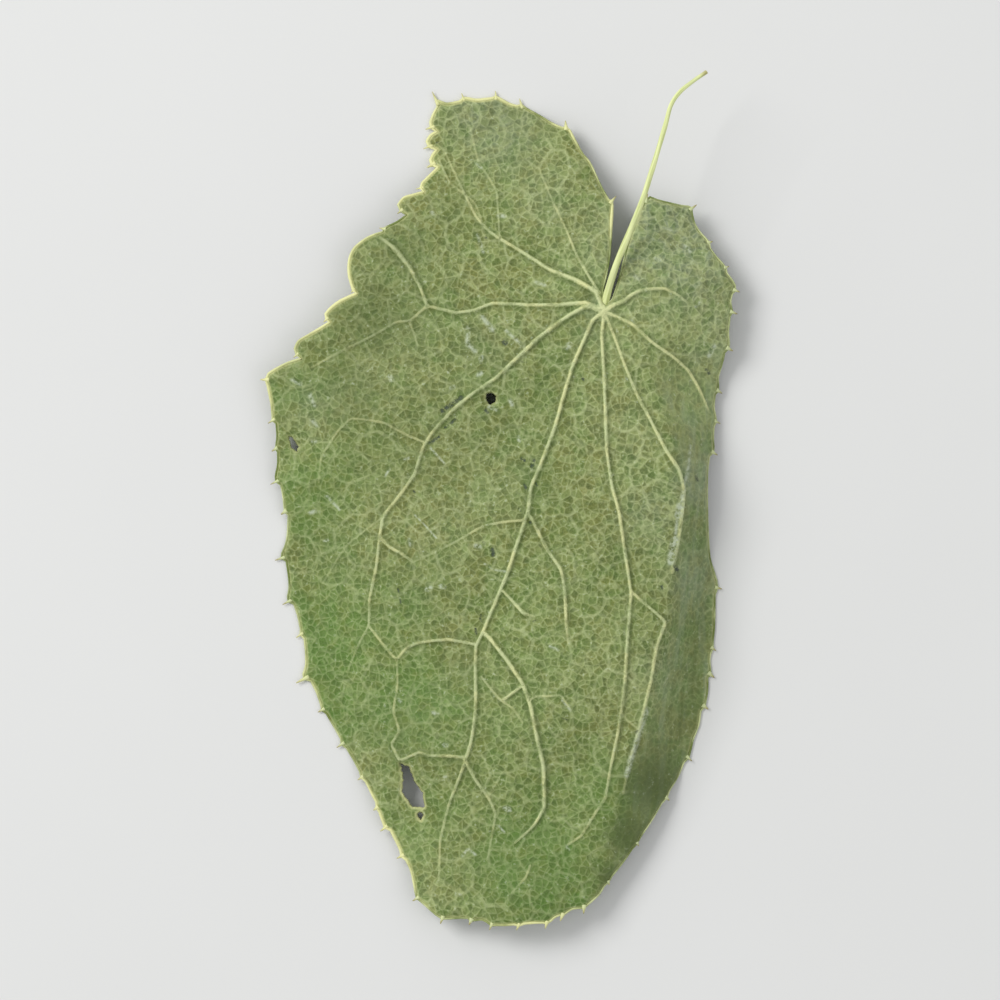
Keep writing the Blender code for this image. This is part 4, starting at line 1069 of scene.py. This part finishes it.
class Blade:
    """The blade's lines in plan, drawn once from the same random numbers for all of its pieces."""

    def __init__(self):
        chance = random.Random(SEED)
        reach, self.margin, self.spines = edge_of_blade()
        centres = cell_centres(reach, chance)
        self.holes = [ragged(hole, chance) for hole in HOLES]
        self.rings = [self.margin, *self.holes]
        self.ribs = [smooth_line(points, RIB_STEP, RIB_ROUNDNESS) for _, points in RIBS.values()]
        self.rib_crests = Crests(self.ribs, [strengths for strengths, _ in RIBS.values()])
        closed = [np.vstack([ring, ring[:1]]) for ring in self.rings]
        self.edges = Crests(closed, [(1.0, 1.0, 1.0)] * len(closed))
        self.threads, strengths = self.draw_net(centres, chance)
        self.net_crests = Crests(self.threads, strengths)

    def on_blade(self, points):
        keep = inside(points, self.margin)
        for hole in self.holes:
            keep &= ~inside(points, hole)
        return keep

    def draw_net(self, centres, chance):
        """The net's threads as slightly bent lines. Corners next to a rib or the edge are drawn to it."""
        corners, pairs = net_of(centres)
        held = np.zeros(len(corners), bool)
        for crests, pull in ((self.rib_crests, RIB_PULL), (self.edges, EDGE_PULL)):
            for k, (x, y) in enumerate(corners):
                _, index, gap = crests.tree.find((x, y, 0.0))
                if gap < pull:
                    corners[k] = crests.samples[index]
                    held[k] = True
        keep = self.on_blade(corners) | held
        threads, strengths = [], []
        for a, b in pairs:
            bend, strength = chance.uniform(-THREAD_BEND, THREAD_BEND), chance.uniform(*THREAD_STRENGTHS)
            if not (keep[a] and keep[b]) or (held[a] and held[b]):
                continue
            start, end = corners[a], corners[b]
            if np.linalg.norm(end - start) < SHORTEST_THREAD:
                continue
            middle = (start + end) / 2 + bend * np.array([start[1] - end[1], end[0] - start[0]])
            threads.append(smooth_line([start, middle, end], NET_STEP))
            strengths.append((strength, strength, strength))
        return threads, strengths

    def triangulate(self):
        """The blade's plan as triangles: rows of points along every line, and an even spread between."""
        points, sides = [], []
        for number, line in enumerate([*self.rings, *self.ribs, *self.threads]):
            first = len(points)
            points.extend(line)
            last = len(line) if number < len(self.rings) else len(line) - 1
            sides.extend((first + k, first + (k + 1) % len(line)) for k in range(last))
        fixed = np.array(points)
        loose = [rows_beside(ring, MARGIN_ROWS, closed=True) for ring in self.rings]
        loose += [rows_beside(line, RIB_ROWS) for line in self.ribs]
        loose += [rows_beside(line, NET_ROWS) for line in self.threads]
        for _, radius, *line in SCUFFS_AND_HIGHLIGHTS + CRACKS_AND_SHADE:
            line = resampled(np.reshape(line, (-1, 2)), MARK_STEP)
            loose.append(rows_beside(line, [share * radius for share in MARK_ROWS]))
        loose.append(rows_beside(smooth_line(CREASE, MARK_STEP), CREASE_ROWS))
        loose.append(even_spread(self.margin.min(axis=0), self.margin.max(axis=0)))
        loose = np.vstack(loose)
        loose = well_spaced(loose[self.on_blade(loose)], fixed)
        everything = [Vector(point) for point in np.vstack([fixed, loose])]
        made, _, faces, *_ = delaunay_2d_cdt(everything, sides, [], 0, 1e-4)
        plan, faces = np.array([tuple(point) for point in made]), np.array(faces)
        return facing_up(plan, faces[self.on_blade(plan[faces].mean(axis=1))])


def even_spread(low, high):
    """An even, slightly shaken triangular lattice of points."""
    chance = random.Random(SEED + 1)
    made = []
    for row, y in enumerate(np.arange(low[1], high[1], LATTICE * math.sqrt(0.75))):
        for x in np.arange(low[0] + (row % 2) * LATTICE / 2, high[0], LATTICE):
            made.append([value + chance.uniform(-LATTICE_SHAKE, LATTICE_SHAKE) for value in (x, y)])
    return np.array(made)


def well_spaced(loose, fixed):
    """The loose points that keep a least distance from the fixed ones and from each other."""
    boxes, kept = {}, []
    for number, (x, y) in enumerate([*fixed, *loose]):
        column, row = int(x // LEAST_GAP), int(y // LEAST_GAP)
        if number >= len(fixed):
            around = ((column + i, row + j) for i in (-1, 0, 1) for j in (-1, 0, 1))
            near = (place for box in around for place in boxes.get(box, ()))
            if any((a - x) ** 2 + (b - y) ** 2 < LEAST_GAP**2 for a, b in near):
                continue
            kept.append((x, y))
        boxes.setdefault((column, row), []).append((x, y))
    return np.array(kept)


def facing_up(plan, faces):
    """The plan with only the points that its triangles use, and all triangles facing upwards."""
    used, numbers = np.unique(faces, return_inverse=True)
    plan, faces = plan[used], numbers.reshape(-1, 3)
    corners = plan[faces]
    turn = np.cross(corners[:, 1] - corners[:, 0], corners[:, 2] - corners[:, 0])
    faces[turn < 0] = faces[turn < 0][:, ::-1]
    return plan, faces


blade_plan = Blade()


def leaflet_sizes():
    """The sizes in mm, as the settings hold them."""
    group = bpy.context.scene.leaflet_sizes
    return {name: getattr(group, name) / MM for name in LeafletSizes.__annotations__}


def build_blade(sizes):
    """The thin sheet as one closed mesh: upper and lower face share the points of the edge."""
    plan, faces = blade_plan.triangulate()
    rib_gap, rib_strength = blade_plan.rib_crests.nearest(plan)
    net_gap, net_strength = blade_plan.net_crests.nearest(plan)
    edge_gap, _ = blade_plan.edges.nearest(plan)
    knot_gap = np.linalg.norm(plan - KNOT_CENTRE, axis=1) / KNOT_RADIUS
    past, slope = fold_at(plan)
    folded = eased(past / STRIP_BLEND) * eased(slope / STRIP_SLOPE)
    calm = 1.0 - STRIP_CALM * folded

    shifts = ((0.0, 0.0), (SLOPE_STEP, 0.0), (0.0, SLOPE_STEP))
    middle, beside, beyond = (thin_height(plan + shift, sizes["sheet"]) for shift in shifts)
    slopes = [(middle - beside) / SLOPE_STEP, (middle - beyond) / SLOPE_STEP]
    normal = unit(np.column_stack([*slopes, np.ones(len(plan))]))

    rib_width = sizes["rib_width"] / 2 * (0.5 + 0.5 * rib_strength**2)
    rib = rib_strength * hump(rib_gap / rib_width)
    trough = TROUGH_DEPTH * rib_strength * hump((rib_gap / rib_width - TROUGH_PLACE) / TROUGH_WIDTH)
    net = (0.5 + 0.5 * net_strength) * hump(net_gap / (sizes["net_width"] / 2))
    knot = KNOT_RISE * hump(knot_gap)
    open_sheet = eased((edge_gap - THIN_EDGE) / THICKENING)
    puff = sizes["puff"] * calm * eased(net_gap / PUFF_REACH) * open_sheet
    ridge = np.maximum(sizes["rib_rise"] * (rib - trough), sizes["net_rise"] * calm * net) * open_sheet
    half = sizes["sheet"] / 2 * (EDGE_SHARE + (1.0 - EDGE_SHARE) * open_sheet)
    upper = half + np.maximum(ridge, knot) + puff
    lower = half + np.maximum(LOWER_RIDGE * ridge, knot) - puff

    sides = np.sort(np.vstack([faces[:, [0, 1]], faces[:, [1, 2]], faces[:, [2, 0]]]), axis=1)
    pairs, counts = np.unique(sides, axis=0, return_counts=True)
    on_ring = np.zeros(len(plan), bool)
    on_ring[pairs[counts == 1].ravel()] = True
    place = np.column_stack([plan, middle])
    top = place + normal * np.where(on_ring, 0.0, upper)[:, None]
    bottom = place - normal * np.where(on_ring, 0.0, lower)[:, None]
    inner = np.flatnonzero(~on_ring)
    bottom_number = np.arange(len(plan))
    bottom_number[inner] = len(plan) + np.arange(len(inner))
    vertices = np.vstack([top, bottom[inner]])
    vertices[:, 2] = np.maximum(vertices[:, 2], 0.0)
    mesh = bpy.data.meshes.new("leaf_blade")
    all_faces = np.vstack([faces, bottom_number[faces][:, ::-1]])
    mesh.from_pydata(in_frame(vertices), [], all_faces.tolist())
    mesh.shade_smooth()

    values = {
        "rib_gap": np.minimum(rib_gap / (0.6 + 0.4 * rib_strength**2), 2.0), "rib_strength": rib_strength,
        "net_gap": np.minimum(net_gap, 2.0), "net_strength": net_strength,
        "edge_gap": np.minimum(edge_gap, 3.0), "folded": folded,
        # Worn spots with the painted highlight along the crease, cracks with their painted shade, and
        # patches of painted shade and light
        "scuffed_and_highlit": stroked(plan, SCUFFS_AND_HIGHLIGHTS), "cracked_and_shaded": stroked(plan, CRACKS_AND_SHADE),
        "pale": patches(plan, PALE_PATCHES), "fresh": patches(plan, FRESH_PATCHES),
        "painted_shade": patches(plan, PAINTED_SHADE_PATCHES), "painted_light": patches(plan, PAINTED_LIGHT_PATCHES),
        "bright": patches(plan, BRIGHT_RIM),
    }
    both = np.concatenate([np.arange(len(plan)), inner])
    for name, value in values.items():
        set_attribute(mesh, name, value[both])
    set_attribute(mesh, "under", np.arange(len(vertices)) >= len(plan))
    return linked("leaf_blade", mesh)


def margin_place(points, sizes):
    """The edge in space: a line in plan at the height where the thin sheet ends."""
    height = np.maximum(thin_height(points, sizes["sheet"]), sizes["rim"])
    return np.column_stack([points, height])


def build_rim(sizes):
    """The rim: a thin uneven cord along the whole edge, broader where it is bright."""
    chance = random.Random(SEED + 2)
    line = margin_place(blade_plan.margin, sizes)
    bright = patches(blade_plan.margin, BRIGHT_RIM)
    swell = [
        RIM_SWELLING * noise.noise((x * RIM_WAVES, y * RIM_WAVES, 4.0))
        + chance.uniform(-RIM_UNEVENNESS, RIM_UNEVENNESS)
        for x, y, _ in line
    ]
    radii = np.minimum(sizes["rim"] * (RIM_LEAST + RIM_BRIGHTNESS * bright + swell), line[:, 2])
    rim = add_tube("leaf_rim", line, radii, 2, closed=True)
    mark_bright(rim)
    return rim


def one_spine():
    """A spine one long, standing along +Z, pinched towards its point."""
    select_only([])
    bpy.ops.mesh.primitive_cone_add(
        vertices=8, radius1=1.0, radius2=SPINE_POINT, depth=1.0, location=(0, 0, 0.5)
    )
    spine = bpy.context.object
    bpy.ops.object.mode_set(mode="EDIT")
    for height in SPINE_RINGS:
        bpy.ops.mesh.select_all(action="SELECT")
        bpy.ops.mesh.bisect(plane_co=(0.0, 0.0, height), plane_no=UP)
    bpy.ops.object.mode_set(mode="OBJECT")
    bpy.ops.object.transform_apply(location=True, rotation=True, scale=True)
    bpy.ops.object.shade_smooth()
    for vertex in spine.data.vertices:
        pinch = 1.0 - SPINE_PINCH * math.sin(math.pi * min(vertex.co.z, 1.0))
        vertex.co.x *= pinch
        vertex.co.y *= pinch
    return spine


def build_spines(sizes):
    """The spines: one is modelled, and copied to each place on the edge, hooked towards the tip."""
    chance = random.Random(SEED + 3)
    pattern = one_spine()
    shape = coordinates(pattern.data)
    x, y, z = shape[:, :1], shape[:, 1:2], shape[:, 2:]
    copies = []
    for foot, tip in blade_plan.spines:
        start, end = margin_place(np.array([foot, tip]), sizes)
        start -= (end - start) * SPINE_SINK
        end[2] += chance.uniform(*SPINE_LIFTS)
        out = end - start
        side = unit(np.cross(unit(out), UP))
        over = np.cross(side, unit(out))
        thick = sizes["spine"] * chance.uniform(*SPINE_THICKNESSES)
        hook = chance.uniform(*SPINE_HOOKS)
        place = start + out * z + side * (x * thick * SPINE_BREADTH)
        place += over * (y * thick + hook * (z - z**2))
        place[:, 2] = np.maximum(place[:, 2], 0.0)
        mesh = pattern.data.copy()
        mesh.vertices.foreach_set("co", in_frame(place).ravel())
        set_attribute(mesh, "tip", shape[:, 2])
        copies.append(linked("leaf_spine", mesh))
    bpy.data.objects.remove(pattern)
    select_only(copies)
    bpy.ops.object.join()
    joined = bpy.context.object
    joined.name = "leaf_spines"
    mark_bright(joined)
    return joined


def build_stalk(sizes):
    """The stalk: a thin tube, thicker at the joint, with grooves along it and a broken end."""
    line = smooth_line(STALK_LINE, STALK_STEP)
    share = np.linspace(0.0, 1.0, len(line))
    radii = sizes["stalk"] + (sizes["stalk_end"] - sizes["stalk"]) * share**STALK_TAPER
    for sign, (radius, reach) in ((1, STALK_SWELLING), (-1, STALK_ROOT)):
        radii += sign * radius * np.exp(-((share / reach) ** 2))
    radii *= [1.0 + STALK_UNEVENNESS * noise.noise((k * STALK_WAVES, 2.0, 5.0)) for k in range(len(line))]
    stalk = add_tube("leaf_stalk", line, radii, 4, closed=False)
    place, tree = place_of(stalk), tree_of(line)
    number = np.array([tree.find(point)[1] for point in place])
    ahead = unit(np.gradient(line, axis=0)[number])
    out = place - line[number]
    out -= ahead * (out * ahead).sum(axis=1)[:, None]
    side = unit(np.cross(ahead, UP))
    over = np.cross(side, ahead)
    angle = np.arctan2((out * over).sum(axis=1), (out * side).sum(axis=1)) + GROOVE_TWIST * number
    groove = np.clip(np.cos(GROOVES * angle), 0.0, 1.0) ** 2
    grooved = place - out * (GROOVE_DEPTH * groove)[:, None]
    stalk.data.vertices.foreach_set("co", in_frame(grooved).ravel())
    set_attribute(stalk.data, "groove", groove)
    along = number / (len(line) - 1)
    set_attribute(stalk.data, "broken", eased((along - BROKEN_START) / BROKEN_WIDTH))
    fibre = stalk.data.attributes.new("fibre", "FLOAT_VECTOR", "POINT")
    round_it = [STREAK_ROUND * np.cos(angle), STREAK_ROUND * np.sin(angle)]
    pattern = np.column_stack([*round_it, number * STALK_STEP / STREAK_LENGTH])
    fibre.data.foreach_set("vector", pattern.astype(np.float32).ravel())
    return stalk


# Operators


class LEAFLET_OT_blade(bpy.types.Operator):
    """Build the blade with its veins and net"""

    bl_idname = "leaflet.blade"
    bl_label = "Build Blade"

    def execute(self, context):
        finish = leaf_finish(context.scene.leaflet_sizes, context.scene.leaflet_colours)
        finish_piece(build_blade(leaflet_sizes()), finish, "blade")
        return {"FINISHED"}


class LEAFLET_OT_rim(bpy.types.Operator):
    """Build the pale rim along the blade's edge"""

    bl_idname = "leaflet.rim"
    bl_label = "Build Rim"

    def execute(self, context):
        finish_piece(build_rim(leaflet_sizes()), rim_finish(context.scene.leaflet_colours))
        return {"FINISHED"}


class LEAFLET_OT_spines(bpy.types.Operator):
    """Build the hooked spines along the blade's edge"""

    bl_idname = "leaflet.spines"
    bl_label = "Build Spines"

    def execute(self, context):
        finish_piece(build_spines(leaflet_sizes()), spine_finish(context.scene.leaflet_colours))
        return {"FINISHED"}


class LEAFLET_OT_stalk(bpy.types.Operator):
    """Build the thin grooved stalk"""

    bl_idname = "leaflet.stalk"
    bl_label = "Build Stalk"

    def execute(self, context):
        finish = stalk_finish(context.scene.leaflet_colours)
        finish_piece(build_stalk(leaflet_sizes()), finish, "stalk")
        return {"FINISHED"}


def add_light(name, light, power):
    """A square studio light that faces the leaflet."""
    place, size = light
    bpy.ops.object.light_add(type="AREA", location=place)
    made = bpy.context.object
    made.name = name
    made.data.size = size
    made.data.energy = power
    made.rotation_euler = (-Vector(place)).to_track_quat("-Z", "Y").to_euler()


class LEAFLET_OT_stage(bpy.types.Operator):
    """Build the floor, the lights and the camera"""

    bl_idname = "leaflet.stage"
    bl_label = "Build Stage"

    def execute(self, context):
        settings = context.scene.leaflet_stage
        select_only([])
        bpy.ops.mesh.primitive_plane_add(size=FLOOR_SIZE, location=(0.0, 0.0, 0.0))
        floor = context.object
        floor.name = "floor"
        floor.data.materials.append(floor_finish(context.scene.leaflet_colours))
        add_light("key_light", KEY_LIGHT, settings.key)
        add_light("fill_light", FILL_LIGHT, settings.fill)
        world = bpy.data.worlds.new("studio")
        world.use_nodes = True
        sky = world.node_tree.nodes["Background"]
        sky.inputs["Color"].default_value = SKY_COLOUR
        sky.inputs["Strength"].default_value = settings.sky
        context.scene.world = world
        context.scene.view_settings.view_transform = "Standard"
        bpy.ops.object.camera_add(location=(0.0, 0.0, settings.camera_height), rotation=(0.0, 0.0, 0.0))
        camera = context.object
        camera.name = "camera_above"
        camera.data.sensor_width = SENSOR
        camera.data.lens = SENSOR * settings.camera_height / settings.view_width
        camera.data.clip_start = NEAREST_SEEN
        context.scene.camera = camera
        return {"FINISHED"}


OPERATORS = (
    LEAFLET_OT_blade, LEAFLET_OT_rim, LEAFLET_OT_spines, LEAFLET_OT_stalk, LEAFLET_OT_stage,
)
GROUPS = {
    "leaflet_sizes": LeafletSizes, "leaflet_colours": LeafletColours, "leaflet_stage": LeafletStage,
}


class LEAFLET_PT_panel(bpy.types.Panel):
    """The leaflet's pieces, sizes and colours"""

    bl_idname = "LEAFLET_PT_panel"
    bl_label = "Dried Leaflet"
    bl_space_type = "VIEW_3D"
    bl_region_type = "UI"
    bl_category = "Leaflet"

    def draw(self, context):
        for operator in OPERATORS:
            self.layout.operator(operator.bl_idname)
        for name, group in GROUPS.items():
            column = self.layout.column(align=True)
            for setting in group.__annotations__:
                column.prop(getattr(context.scene, name), setting)


CLASSES = (*GROUPS.values(), *OPERATORS, LEAFLET_PT_panel)


def register():
    for made in CLASSES:
        bpy.utils.register_class(made)
    for name, group in GROUPS.items():
        setattr(bpy.types.Scene, name, bpy.props.PointerProperty(type=group))


def unregister():
    for name in GROUPS:
        delattr(bpy.types.Scene, name)
    for made in reversed(CLASSES):
        bpy.utils.unregister_class(made)


def main():
    register()
    bpy.ops.leaflet.blade()
    bpy.ops.leaflet.rim()
    bpy.ops.leaflet.spines()
    bpy.ops.leaflet.stalk()
    bpy.ops.leaflet.stage()


if __name__ == "__main__":
    main()
